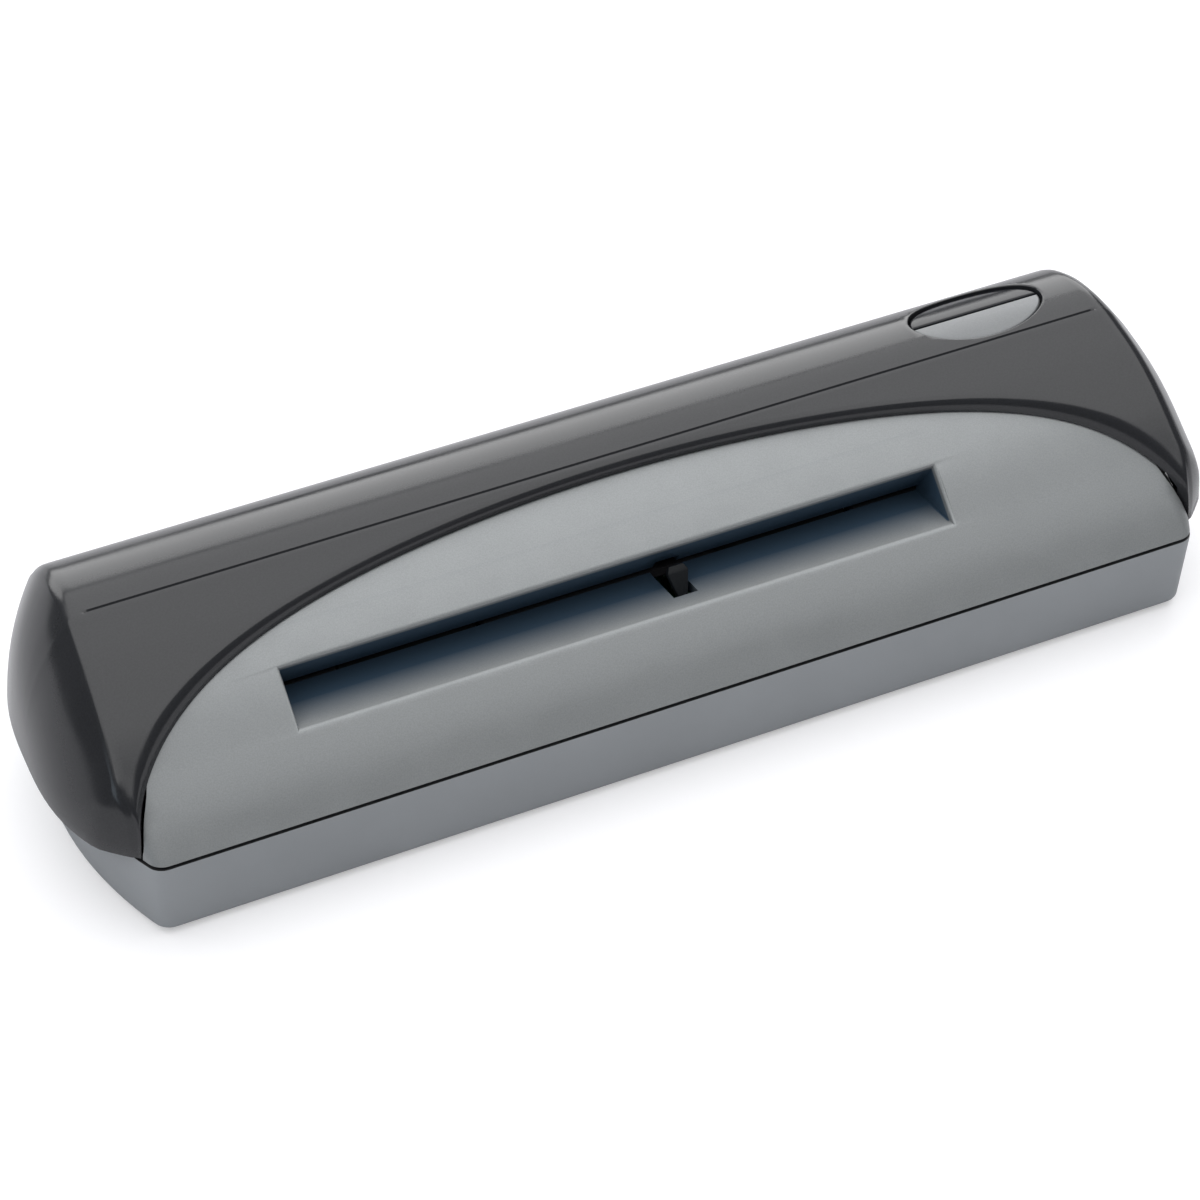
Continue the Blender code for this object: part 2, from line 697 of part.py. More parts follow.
def add_base_lip(base, top):
    """The lip inside the base's rim, behind the panel, that centres the cover."""
    lip = finish("base_lip", case_rings(
        [(top - OVERRUN, BASE_LIP_INSET), (top + BASE_LIP_HEIGHT, BASE_LIP_INSET)]))
    inner = BASE_LIP_INSET + BASE_LIP_WALL
    cut(lip, case_rings([(top - OVERRUN - GAP, inner), (top + OVERRUN, inner)]), "base_lip_hollow")
    cut(lip, case_rings([(top - OVERRUN - GAP, -OVERRUN), (top - GAP, -OVERRUN)]), "base_lip_foot")
    start = FRONT_Y + CASE_DEPTH * LIP_START_SHARE
    cut(lip, box((-WIDE, FRONT_Y - OVERRUN, 0.0), (WIDE, start, WIDE)), "base_lip_front")
    change(base, lip, "UNION")


def add_base_posts(base):
    """Bosses round the case screws and posts under the main board's corners."""
    recess = SCREW_HEAD_RADIUS + GAP
    for name, place in screw_places().items():
        join(base, rod(place, recess + BOSS_WALL, FLOOR_TOP - GAP, BOSS_TOP, 20, "z"),
             "base_boss_" + name)
    for x in (PATH_CENTRE - BOARD_LENGTH / 2 + BOARD_POST_RADIUS,
              PATH_CENTRE + BOARD_LENGTH / 2 - BOARD_POST_RADIUS):
        for y in (BOARD_FRONT + BOARD_POST_RADIUS, BOARD_REAR - BOARD_POST_RADIUS):
            join(base, rod((x, y), BOARD_POST_RADIUS, FLOOR_TOP - GAP,
                           FLOOR_TOP + BOARD_STANDOFF, 12, "z"), "base_board_post")


def cut_base_openings(base):
    """Screw holes, foot recesses and the hole for the socket."""
    recess = SCREW_HEAD_RADIUS + GAP
    for name, place in screw_places().items():
        cut(base, rod(place, recess, 0.0, SCREW_SEAT_Z, 20, "z"), "base_screw_recess_" + name)
        cut(base, rod(place, SCREW_RADIUS + GAP, SCREW_SEAT_Z - GAP, BOSS_TOP + OVERRUN, 12, "z"),
            "base_screw_hole_" + name)
    for name, place in foot_places().items():
        cut(base, rod(place, FOOT_RADIUS + GAP, 0.0, FOOT_STAND + FOOT_RECESS, 20, "z"),
            "base_foot_recess_" + name)
    half = SOCKET_WIDTH / 2 + GAP
    cut(base, box((SOCKET_X - half, BOARD_REAR + GAP, BOARD_TOP),
                  (SOCKET_X + half, REAR_Y + OVERRUN, BOARD_TOP + SOCKET_HEIGHT + 2 * GAP)),
        "base_socket_hole")


def slot_outline(margin, outwards):
    """Section of the slot's funnel, grown by margin; outwards runs it past the panel."""
    slope_y, slope_z = LIP_Y - MOUTH_Y, MOUTH_Z - LIP_Z
    run = math.hypot(slope_y, slope_z)
    out_y, out_z = -slope_z / run * outwards, -slope_y / run * outwards
    rear = THROAT_Y + THROAT_RUN + (OVERRUN if outwards > 0 and margin == 0 else 0.0)
    return [
        (LIP_Y - margin + out_y, LIP_Z - margin + out_z), (LIP_Y - margin, LIP_Z - margin),
        (THROAT_Y - margin / 2, THROAT_LOW - margin), (rear, THROAT_LOW - margin),
        (rear, THROAT_HIGH + margin), (THROAT_Y + margin / 2, THROAT_HIGH + margin),
        (MOUTH_Y + margin, MOUTH_Z + margin / 2),
        (MOUTH_Y + margin + out_y, MOUTH_Z + margin / 2 + out_z),
    ]


def make_front_panel():
    low = PARTING_HEIGHT
    silver = material("panel_silver", (0.42, 0.43, 0.44), 0.4, 0.1)
    outer = case_section(0.0)
    reach_top = low + RISE * PANEL_REACH_SHARE
    skin = finish("front_panel", case_rings([(low, 0.0), (reach_top, PANEL_LEAN)]),
                  silver, smooth=True)
    section = [(FRONT_Y, low - OVERRUN), (FRONT_Y, low), *outer[1:-1], (REAR_Y, low),
               (REAR_Y, low - OVERRUN)]
    keep(skin, along_x(section, -WIDE, WIDE), "panel_section")
    inner = [point for point in case_section(-CASE_WALL) if point[1] > low]
    y0, z0 = inner[0]
    y1, z1 = inner[1]
    foot_y = y0 - (z0 - low + OVERRUN) * (y1 - y0) / (z1 - z0)
    hollow = finish("panel_hollow", along_x(
        [(foot_y, low - OVERRUN), *inner, (inner[-1][0], low - OVERRUN)], -WIDE, WIDE))
    keep(hollow, case_rings([(low - OVERRUN, CASE_WALL),
                             (reach_top, PANEL_LEAN + CASE_WALL)]),
         "panel_hollow_ends")
    change(skin, hollow, "DIFFERENCE")
    reach = plan_line(panel_rear_y)
    reach = [(-WIDE, FRONT_Y - OVERRUN), (-WIDE, reach[0][1]), *reach, (WIDE, reach[-1][1]),
             (WIDE, FRONT_Y - OVERRUN)]
    keep(skin, along_z(reach, 0.0, WIDE), "panel_reach")
    half = SLOT_WIDTH / 2
    left, right = PATH_CENTRE - half, PATH_CENTRE + half
    funnel = finish("panel_funnel", along_x(
        slot_outline(FUNNEL_WALL, 0.0), left - FUNNEL_WALL, right + FUNNEL_WALL))
    keep(funnel, along_x(section, -WIDE, WIDE), "panel_funnel_limit")
    change(skin, funnel, "UNION")
    add_lever_ears(skin)
    add_panel_posts(skin)
    cut(skin, along_x(slot_outline(0.0, OVERRUN), left, right), "panel_slot")
    cut_lever_openings(skin)


def add_lever_ears(panel):
    """Two ears under the slot's floor that carry the sensing lever."""
    pivot_y, pivot_z = lever_pivot()
    ear_top = funnel_floor(pivot_y + LEVER_HUB_RADIUS) - FUNNEL_WALL / 2
    for side in (-1, 1):
        inside = LEVER_X + side * (LEVER_TIP_WIDTH / 2 + GAP)
        outside = inside + side * LEVER_EAR_THICKNESS
        ear = [(pivot_y - LEVER_HUB_RADIUS, pivot_z - LEVER_HUB_RADIUS),
               (pivot_y + LEVER_HUB_RADIUS, pivot_z - LEVER_HUB_RADIUS),
               (pivot_y + LEVER_HUB_RADIUS, ear_top),
               (pivot_y - LEVER_HUB_RADIUS, ear_top)]
        join(panel, along_x(ear, min(inside, outside), max(inside, outside)), "panel_lever_ear")


def add_panel_posts(panel):
    """Posts inside the panel that take the two front case screws."""
    for name in ("front_left", "front_right"):
        place = screw_places()[name]
        post = finish("panel_post_" + name,
                      rod(place, POST_RADIUS, BOSS_TOP + GAP, TOP_HEIGHT, 16, "z"))
        middle = [(y, z) for y, z in case_section(-CASE_WALL / 2) if z > PARTING_HEIGHT]
        keep(post, along_x([(middle[0][0], 0.0), *middle, (middle[-1][0], 0.0)], -WIDE, WIDE),
             "panel_post_limit_" + name)
        change(panel, post, "UNION")
        cut(panel, rod(place, SCREW_RADIUS + GAP, 0.0, SCREW_SEAT_Z + SCREW_LENGTH, 12, "z"),
            "panel_post_hole_" + name)


def cut_lever_openings(panel):
    """The slit that the lever's finger rises through, and its bearing in the ears."""
    slit = LEVER_TIP_WIDTH / 2 + GAP
    cut(panel, box((LEVER_X - slit, lever_slit_front(), THROAT_LOW - 2 * FUNNEL_WALL),
                   (LEVER_X + slit, THROAT_Y + OVERRUN, THROAT_HIGH + FUNNEL_WALL + GAP)),
        "panel_lever_slit")
    cut(panel, rod(lever_pivot(), LEVER_STUB_RADIUS + GAP, LEVER_X - OVERRUN,
                   LEVER_X + OVERRUN, 12), "panel_lever_bearing")


def funnel_floor(y):
    """Height of the slot's floor, which falls from the lip to the throat."""
    share = (y - LIP_Y) / (THROAT_Y - LIP_Y)
    return LIP_Z - FLOOR_DROP * min(max(share, 0.0), 1.0)


def lever_pivot():
    """The lever's axis, under the funnel's floor, so that its finger rises into the slot."""
    return (MOUTH_Y - LEVER_REACH * math.sin(LEVER_LEAN) + GAP,
            THROAT_LOW - FUNNEL_WALL - LEVER_HUB_RADIUS - GAP)


def lever_flag():
    """Length of the lever's flag, which ends in the card sensor, and the place of its end."""
    pivot_y, pivot_z = lever_pivot()
    end_z = BOARD_TOP + GAP + CARD_SENSOR_SOLE + LEVER_FLAG_CLEARANCE
    length = (end_z - pivot_z) / math.cos(LEVER_FLAG_LEAN)
    return length, pivot_y + length * math.sin(LEVER_FLAG_LEAN)


def lever_slit_front():
    pivot_y, pivot_z = lever_pivot()
    return pivot_y + (THROAT_LOW - pivot_z) * math.tan(LEVER_LEAN) - LEVER_SLIT_MARGIN


def make_cover():
    charcoal = material("cover_charcoal", (0.09, 0.09, 0.095), 0.18)
    cover = finish("top_cover", domed_body(COVER_STAND, 0.0, PARTING_HEIGHT), charcoal, smooth=True)
    hollow = domed_body(COVER_STAND - COVER_WALL, COVER_WALL, PARTING_HEIGHT - OVERRUN)
    cut(cover, hollow, "cover_hollow")
    front = plan_line(cover_front_y)
    front = [(-WIDE, FRONT_Y - OVERRUN), (-WIDE, front[0][1]), *front, (WIDE, front[-1][1]),
             (WIDE, FRONT_Y - OVERRUN)]
    cut(cover, along_z(front, 0.0, WIDE), "cover_arch")
    add_cover_posts(cover)
    hole = oval(OVAL_HALF_LENGTH + GAP, OVAL_HALF_DEPTH + GAP, 0)
    cut(cover, along_z(hole, BUTTON_BOARD_TOP + SWITCH_HEIGHT, WIDE), "cover_oval")
    exit_low = THROAT_LOW + THROAT / 2 - EXIT_HEIGHT / 2
    half = EXIT_WIDTH / 2
    cut(cover, box((PATH_CENTRE - half, REAR_Y - 2 * COVER_WALL, exit_low),
                   (PATH_CENTRE + half, REAR_Y + OVERRUN, exit_low + EXIT_HEIGHT)), "cover_exit")


def add_cover_posts(cover):
    """Posts inside the cover for the two rear case screws and for the button's board."""
    posts = finish("cover_post_rear_left", rod(
        screw_places()["rear_left"], POST_RADIUS, BOSS_TOP + GAP, TOP_HEIGHT, 16, "z"))
    join(posts, rod(screw_places()["rear_right"], POST_RADIUS, BOSS_TOP + GAP, TOP_HEIGHT, 16, "z"),
         "cover_post_rear_right")
    for place in button_posts():
        join(posts, rod(place, BUTTON_POST_RADIUS, BUTTON_BOARD_TOP + GAP, TOP_HEIGHT, 12, "z"),
             "cover_button_post")
        join(posts, rod(place, BUTTON_POST_PIN, BUTTON_BOARD_TOP - BOARD_THICKNESS,
                        BUTTON_BOARD_TOP + OVERRUN, 12, "z"), "cover_button_pin")
    keep(posts, domed_body(COVER_STAND - COVER_WALL / 2, COVER_WALL / 2, 0.0), "cover_post_limit")
    change(cover, posts, "UNION")
    for name in ("rear_left", "rear_right"):
        cut(cover, rod(screw_places()[name], SCREW_RADIUS + GAP, 0.0,
                       SCREW_SEAT_Z + SCREW_LENGTH, 12, "z"), "cover_post_hole_" + name)


def button_posts():
    """Places of the posts under the cover that carry the button's board."""
    return [
        (OVAL_X + x, OVAL_Y + y)
        for x in (-BUTTON_POST_LEFT, BUTTON_POST_RIGHT)
        for y in (-BUTTON_POST_REACH, BUTTON_POST_REACH)
    ]


def cover_band(outer, inner):
    """A layer that follows the cover's curve, between two distances from the case's line."""
    outline = [*case_section(outer), *reversed(case_section(inner))]
    reach = OVAL_HALF_LENGTH + OVERRUN
    return along_x(outline, OVAL_X - reach, OVAL_X + reach)


def oval_half(name, part, surface):
    """Half of the oval: a plate sunk a little in the cover, with a flange under the cover."""
    low = BUTTON_BOARD_TOP + SWITCH_HEIGHT
    plate = finish(name, along_z(oval(OVAL_HALF_LENGTH, OVAL_HALF_DEPTH, part), low, WIDE),
                   surface, smooth=True)
    sunk = COVER_STAND - OVAL_SINK
    keep(plate, cover_band(sunk, sunk - OVAL_PLATE - OVAL_FLANGE), name + "_layer")
    flange = finish(name + "_flange", along_z(
        oval(OVAL_HALF_LENGTH + OVAL_FLANGE, OVAL_HALF_DEPTH + OVAL_FLANGE, part), low, WIDE))
    top = COVER_STAND - COVER_WALL - GAP
    keep(flange, cover_band(top, top - OVAL_FLANGE), name + "_flange_layer")
    return change(plate, flange, "UNION")


def make_scan_button():
    button = oval_half("scan_button", -1, material("button_silver", (0.5, 0.51, 0.52), 0.35, 0.2))
    join(button, rod((OVAL_X, button_stem_y()), BUTTON_STEM_RADIUS, STEM_LOW,
                     FLANGE_LOW + OVAL_FLANGE, 16, "z"), "scan_button_stem")


def make_status_window():
    oval_half("status_window", 1, material("window_dark", (0.03, 0.03, 0.035), 0.12))


def make_button_board():
    board = finish("button_board", box(
        (OVAL_X - BUTTON_BOARD_LEFT, OVAL_Y - BUTTON_BOARD_HALF_DEPTH,
         BUTTON_BOARD_TOP - BOARD_THICKNESS),
        (OVAL_X + BUTTON_BOARD_RIGHT, OVAL_Y + BUTTON_BOARD_HALF_DEPTH, BUTTON_BOARD_TOP)),
        material("board_green", (0.03, 0.16, 0.07), 0.5))
    for place in button_posts():
        cut(board, rod(place, BUTTON_POST_PIN + GAP, BUTTON_BOARD_TOP - 2 * BOARD_THICKNESS,
                       BUTTON_BOARD_TOP + BOARD_THICKNESS, 12, "z"), "button_board_hole")
    half, low = SWITCH_SIZE / 2, BUTTON_BOARD_TOP + GAP
    place = (OVAL_X, button_stem_y())
    switch = finish("button_switch", box(
        (place[0] - half, place[1] - half, low), (place[0] + half, place[1] + half, SWITCH_TOP)),
        material("switch_black", (0.03, 0.03, 0.03), 0.4))
    cut(switch, rod(place, PLUNGER_RADIUS + GAP, low + GAP, SWITCH_TOP + OVERRUN, 16, "z"),
        "button_switch_well")
    plunger = finish("switch_plunger", rod(
        place, PLUNGER_RADIUS, PLUNGER_TOP - PLUNGER_LENGTH, PLUNGER_TOP, 16, "z"),
        material("plunger_white", (0.7, 0.7, 0.68), 0.4))
    move_origin(plunger, (*place, PLUNGER_TOP))
    led_y = OVAL_Y + OVAL_HALF_DEPTH * BUTTON_STEM_SHARE
    finish("status_led", box((OVAL_X - LED_LENGTH / 2, led_y - LED_DEPTH / 2, low),
                             (OVAL_X + LED_LENGTH / 2, led_y + LED_DEPTH / 2, low + LED_HEIGHT)),
           material("led_clear", (0.75, 0.78, 0.7), 0.25))


def make_feet():
    rubber = material("rubber_black", (0.02, 0.02, 0.02), 0.8)
    top = FOOT_STAND + FOOT_RECESS - GAP
    for name, place in foot_places().items():
        finish("foot_" + name, turned([
            (0.0, 0.0), (0.0, FOOT_RADIUS - FOOT_BEVEL), (FOOT_BEVEL, FOOT_RADIUS),
            (top, FOOT_RADIUS), (top, 0.0)], place, 20, "z"), rubber, smooth=True)


def make_screws():
    steel = material("screw_steel", (0.5, 0.5, 0.52), 0.35, 1.0)
    top = SCREW_SEAT_Z - GAP
    low = top - SCREW_HEAD_HEIGHT
    end = SCREW_SEAT_Z + SCREW_LENGTH - SCREW_TIP
    arm = DRIVE_RECESS_RADIUS * DRIVE_ARM_SHARE
    for name, place in screw_places().items():
        screw = finish("case_screw_" + name, turned([
            (low, 0.0), (low, SCREW_HEAD_RADIUS), (top, SCREW_HEAD_RADIUS), (top, SCREW_RADIUS),
            (end - SCREW_TIP, SCREW_RADIUS), (end, 0.0)], place, 16, "z"), steel, smooth=True)
        for across, along in ((DRIVE_RECESS_RADIUS, arm), (arm, DRIVE_RECESS_RADIUS)):
            cut(screw, box((place[0] - across, place[1] - along, low - OVERRUN),
                           (place[0] + across, place[1] + along, low + DRIVE_RECESS_DEPTH)),
                "case_screw_drive")


def roller_places():
    """Middles along X of the two rollers on one shaft."""
    return {"left": PATH_CENTRE - SLEEVE_SPACING / 2, "right": PATH_CENTRE + SLEEVE_SPACING / 2}


def plate_outline():
    front, rear = LIP_Y + PLATE_SETBACK, REAR_Y - PLATE_REAR_SETBACK
    low, shoulder = FLOOR_TOP + GAP, PLATE_TOP - PLATE_SHOULDER
    return [(front, low), (rear, low), (rear, shoulder), (rear - PLATE_CHAMFER, PLATE_TOP),
            (front + PLATE_CHAMFER, PLATE_TOP), (front, shoulder)]


def plate_faces(side):
    """Inner and outer face of the left or right side plate, as low and high X."""
    inner, outer = PATH_CENTRE + side * PLATE_INNER, PATH_CENTRE + side * PLATE_OUTER
    return min(inner, outer), max(inner, outer)


def make_scan_frame():
    black = material("frame_black", (0.035, 0.035, 0.04), 0.5)
    reach = PLATE_INNER + PLATE_THICKNESS / 2
    frame = finish("scan_frame", box(
        (PATH_CENTRE - reach, GUIDE_FRONT, GUIDE_TOP - GUIDE_THICKNESS),
        (PATH_CENTRE + reach, GUIDE_REAR, GUIDE_TOP)), black)
    half = SLEEVE_LENGTH / 2 + WINDOW_MARGIN
    for middle in roller_places().values():
        for y in (FEED_Y, EXIT_Y):
            front = y - SLEEVE_RADIUS - (OVERRUN if y == FEED_Y else 0.0)
            cut(frame, box((middle - half, front, 0.0),
                           (middle + half, y + SLEEVE_RADIUS, WIDE)), "frame_roller_window")
    strip = SENSOR_LENGTH / 2 - GLASS_MARGIN + GAP
    cut(frame, box((PATH_CENTRE - strip, SENSOR_Y - STRIP_DEPTH / 2 - GAP,
                    GUIDE_TOP - STRIP_THICKNESS - GAP),
                   (PATH_CENTRE + strip, SENSOR_Y + STRIP_DEPTH / 2 + GAP, WIDE)),
        "frame_strip_recess")
    for side in (-1, 1):
        low, high = plate_faces(side)
        join(frame, along_x(plate_outline(), low, high), "frame_plate")
        within = sorted((PATH_CENTRE + side * (PLATE_INNER - 2 * GAP),
                         PATH_CENTRE + side * (PLATE_OUTER + OVERRUN)))
        holes = [
            ((FEED_Y, DRIVE_Z), SHAFT_RADIUS + BUSH_WALL + 2 * GAP),
            ((EXIT_Y, DRIVE_Z), SHAFT_RADIUS + BUSH_WALL + 2 * GAP),
            ((FEED_Y, PINCH_Z), PINCH_AXLE_RADIUS + GAP),
            ((EXIT_Y, PINCH_Z), PINCH_AXLE_RADIUS + GAP),
            ((SENSOR_Y, SENSOR_PIN_Z), SENSOR_PIN_RADIUS + GAP),
        ]
        if side > 0:
            holes.append(((REDUCTION_Y, REDUCTION_Z), GEAR_PIN_BORE))
            holes.append(((SENSOR_Y, DRIVE_Z), GEAR_PIN_BORE))
        for place, radius in holes:
            cut(frame, rod(place, radius, *within, 16), "frame_hole")
        for y in upper_guide_tabs():
            cut(frame, box(
                (within[0], y - GUIDE_TAB_WIDTH / 2 - GAP, UPPER_GUIDE_LOW - GAP),
                (within[1], y + GUIDE_TAB_WIDTH / 2 + GAP,
                 UPPER_GUIDE_LOW + UPPER_GUIDE_THICKNESS + GAP)), "frame_tab_slot")


def upper_guide_tabs():
    """Middles along Y of the end tabs of the two upper guides."""
    return (GUIDE_FRONT + GUIDE_TAB_WIDTH / 2 + GAP,
            REAR_Y - UPPER_GUIDE_REAR_SETBACK - GUIDE_TAB_WIDTH / 2 - GAP)


def make_upper_guides():
    steel = material("sheet_steel", (0.45, 0.46, 0.47), 0.4, 1.0)
    low, high = UPPER_GUIDE_LOW, UPPER_GUIDE_LOW + UPPER_GUIDE_THICKNESS
    rows = {
        "upper_guide_front": (GUIDE_FRONT, SENSOR_FRONT - GAP,
                              GUIDE_FRONT + UPPER_GUIDE_STRIP, SENSOR_FRONT + OVERRUN),
        "upper_guide_rear": (SENSOR_REAR + GAP, REAR_Y - UPPER_GUIDE_REAR_SETBACK,
                             SENSOR_REAR - OVERRUN, EXIT_Y + PINCH_RADIUS + WINDOW_MARGIN),
    }
    half = PINCH_LENGTH / 2 + WINDOW_MARGIN
    for (name, (front, rear, notch_front, notch_rear)), tab in zip(rows.items(), upper_guide_tabs()):
        guide = finish(name, box((PATH_CENTRE - GUIDE_HALF_LENGTH, front, low),
                                 (PATH_CENTRE + GUIDE_HALF_LENGTH, rear, high)), steel)
        for middle in roller_places().values():
            cut(guide, box((middle - half, notch_front, 0.0), (middle + half, notch_rear, WIDE)),
                name + "_notch")
        for side in (-1, 1):
            ends = sorted((PATH_CENTRE + side * (GUIDE_HALF_LENGTH - GUIDE_TAB_WIDTH),
                           PATH_CENTRE + side * PLATE_OUTER))
            join(guide, box((ends[0], tab - GUIDE_TAB_WIDTH / 2, low),
                            (ends[1], tab + GUIDE_TAB_WIDTH / 2, high)), name + "_tab")


def make_reference_strip():
    half = SENSOR_LENGTH / 2 - GLASS_MARGIN
    finish("reference_strip", box(
        (PATH_CENTRE - half, SENSOR_Y - STRIP_DEPTH / 2, GUIDE_TOP - STRIP_THICKNESS),
        (PATH_CENTRE + half, SENSOR_Y + STRIP_DEPTH / 2, GUIDE_TOP)),
        material("strip_white", (0.8, 0.8, 0.78), 0.6))


def make_image_sensor():
    half = SENSOR_LENGTH / 2
    sensor = finish("image_sensor", box(
        (PATH_CENTRE - half, SENSOR_FRONT, SENSOR_LOW),
        (PATH_CENTRE + half, SENSOR_REAR, SENSOR_LOW + SENSOR_HEIGHT)),
        material("sensor_black", (0.02, 0.02, 0.022), 0.35))
    join(sensor, rod((SENSOR_Y, SENSOR_PIN_Z), SENSOR_PIN_RADIUS, PATH_CENTRE - PLATE_OUTER,
                     PATH_CENTRE + PLATE_OUTER, 12), "image_sensor_pin")
    inner = half - GLASS_MARGIN
    cut(sensor, box(
        (PATH_CENTRE - inner - GAP, SENSOR_FRONT + GLASS_MARGIN - GAP, 0.0),
        (PATH_CENTRE + inner + GAP, SENSOR_REAR - GLASS_MARGIN + GAP,
         SENSOR_LOW + GLASS_THICKNESS + GAP)), "image_sensor_recess")
    finish("sensor_glass", box(
        (PATH_CENTRE - inner, SENSOR_FRONT + GLASS_MARGIN, SENSOR_LOW),
        (PATH_CENTRE + inner, SENSOR_REAR - GLASS_MARGIN, SENSOR_LOW + GLASS_THICKNESS)),
        material("glass_clear", (0.6, 0.68, 0.66), 0.05))


def make_rollers():
    steel = material("shaft_steel", (0.5, 0.51, 0.53), 0.25, 1.0)
    rubber = material("roller_rubber", (0.05, 0.05, 0.055), 0.75)
    brass = material("bush_brass", (0.55, 0.42, 0.18), 0.35, 1.0)
    white = material("pinch_white", (0.7, 0.7, 0.68), 0.5)
    left = PATH_CENTRE - PLATE_OUTER - SHAFT_END
    for row, y in (("feed", FEED_Y), ("exit", EXIT_Y)):
        drive, pinch = (y, DRIVE_Z), (y, PINCH_Z)
        shaft = finish(row + "_roller_shaft", rod(
            drive, SHAFT_RADIUS, left, GEAR_PLANE + FACE_WIDTH + GEAR_END, 20), steel, smooth=True)
        move_origin(shaft, (PATH_CENTRE, *drive))
        finish(f"pinch_axle_{row}", rod(
            pinch, PINCH_AXLE_RADIUS, PATH_CENTRE - PLATE_OUTER, PATH_CENTRE + PLATE_OUTER, 12),
            steel, smooth=True)
        for side, middle in roller_places().items():
            sleeve = finish(f"{row}_roller_{side}", ring(
                drive, SLEEVE_RADIUS, SHAFT_RADIUS + GAP, middle - SLEEVE_LENGTH / 2,
                middle + SLEEVE_LENGTH / 2, 24), rubber, smooth=True)
            move_origin(sleeve, (middle, *drive))
            roller = finish(f"pinch_roller_{row}_{side}", ring(
                pinch, PINCH_RADIUS, PINCH_BORE_RADIUS, middle - PINCH_LENGTH / 2,
                middle + PINCH_LENGTH / 2, 20), white, smooth=True)
            move_origin(roller, (middle, *pinch))
        for side, name in ((-1, "left"), (1, "right")):
            bore, wall = SHAFT_RADIUS + GAP, SHAFT_RADIUS + GAP + BUSH_WALL
            inner, outer = PATH_CENTRE + side * PLATE_INNER, PATH_CENTRE + side * (PLATE_OUTER + GAP)
            end = outer + side * BUSH_FLANGE
            flange = wall + BUSH_FLANGE_REACH
            finish(f"{row}_bush_{name}", turned(
                [(inner, bore), (inner, wall), (outer, wall), (outer, flange), (end, flange),
                 (end, bore)], drive, 16), brass, smooth=True)


def gear_outline(centre, teeth, phase):
    """Outline of a spur gear with straight-sided teeth, one tooth pointing at the phase angle."""
    root = pitch_radius(teeth) - DEDENDUM_SHARE * GEAR_MODULE
    tip = pitch_radius(teeth) + ADDENDUM_SHARE * GEAR_MODULE
    step = math.tau / teeth
    outline = []
    for tooth in range(teeth):
        for radius, share in ((root, -ROOT_HALF_SHARE), (tip, -TIP_HALF_SHARE),
                              (tip, TIP_HALF_SHARE), (root, ROOT_HALF_SHARE)):
            angle = phase + step * (tooth + share)
            outline.append((centre[0] + radius * math.cos(angle), centre[1] + radius * math.sin(angle)))
    return outline


def make_gears():
    white = material("gear_nylon", (0.72, 0.71, 0.66), 0.45)
    high = GEAR_PLANE + FACE_WIDTH
    for name, place, teeth, phase, bore in (
        ("feed_gear", (FEED_Y, DRIVE_Z), DRIVE_TEETH, 0.0, SHAFT_RADIUS + GAP),
        ("exit_gear", (EXIT_Y, DRIVE_Z), DRIVE_TEETH, math.pi, SHAFT_RADIUS + GAP),
        ("idler_gear", (SENSOR_Y, DRIVE_Z), IDLER_TEETH, math.pi + math.pi / IDLER_TEETH,
         GEAR_PIN_BORE),
    ):
        gear = finish(name, along_x(gear_outline(place, teeth, phase), GEAR_PLANE, high), white)
        cut(gear, rod(place, bore, GEAR_PLANE - OVERRUN, high + OVERRUN, 20), name + "_bore")
        move_origin(gear, (GEAR_PLANE, *place))
    place = (REDUCTION_Y, REDUCTION_Z)
    small_phase = REDUCTION_ANGLE + math.pi + math.pi / SMALL_TEETH
    gear = finish("reduction_gear", along_x(
        gear_outline(place, LARGE_TEETH, MOTOR_ANGLE), LARGE_PLANE, LARGE_PLANE + FACE_WIDTH), white)
    join(gear, along_x(gear_outline(place, SMALL_TEETH, small_phase), GEAR_PLANE,
                       LARGE_PLANE + GAP), "reduction_gear_small")
    cut(gear, rod(place, GEAR_PIN_BORE, GEAR_PLANE - OVERRUN, BRACKET_X, 16), "reduction_gear_bore")
    move_origin(gear, (LARGE_PLANE, *place))
    steel = material("shaft_steel", (0.5, 0.51, 0.53), 0.25, 1.0)
    inner = PATH_CENTRE + PLATE_INNER
    finish("reduction_gear_axle", rod(
        place, GEAR_PIN_RADIUS, inner, BRACKET_X + BRACKET_THICKNESS, 12), steel, smooth=True)
    finish("idler_gear_axle", rod(
        (SENSOR_Y, DRIVE_Z), GEAR_PIN_RADIUS, inner, high + GEAR_END, 12), steel, smooth=True)


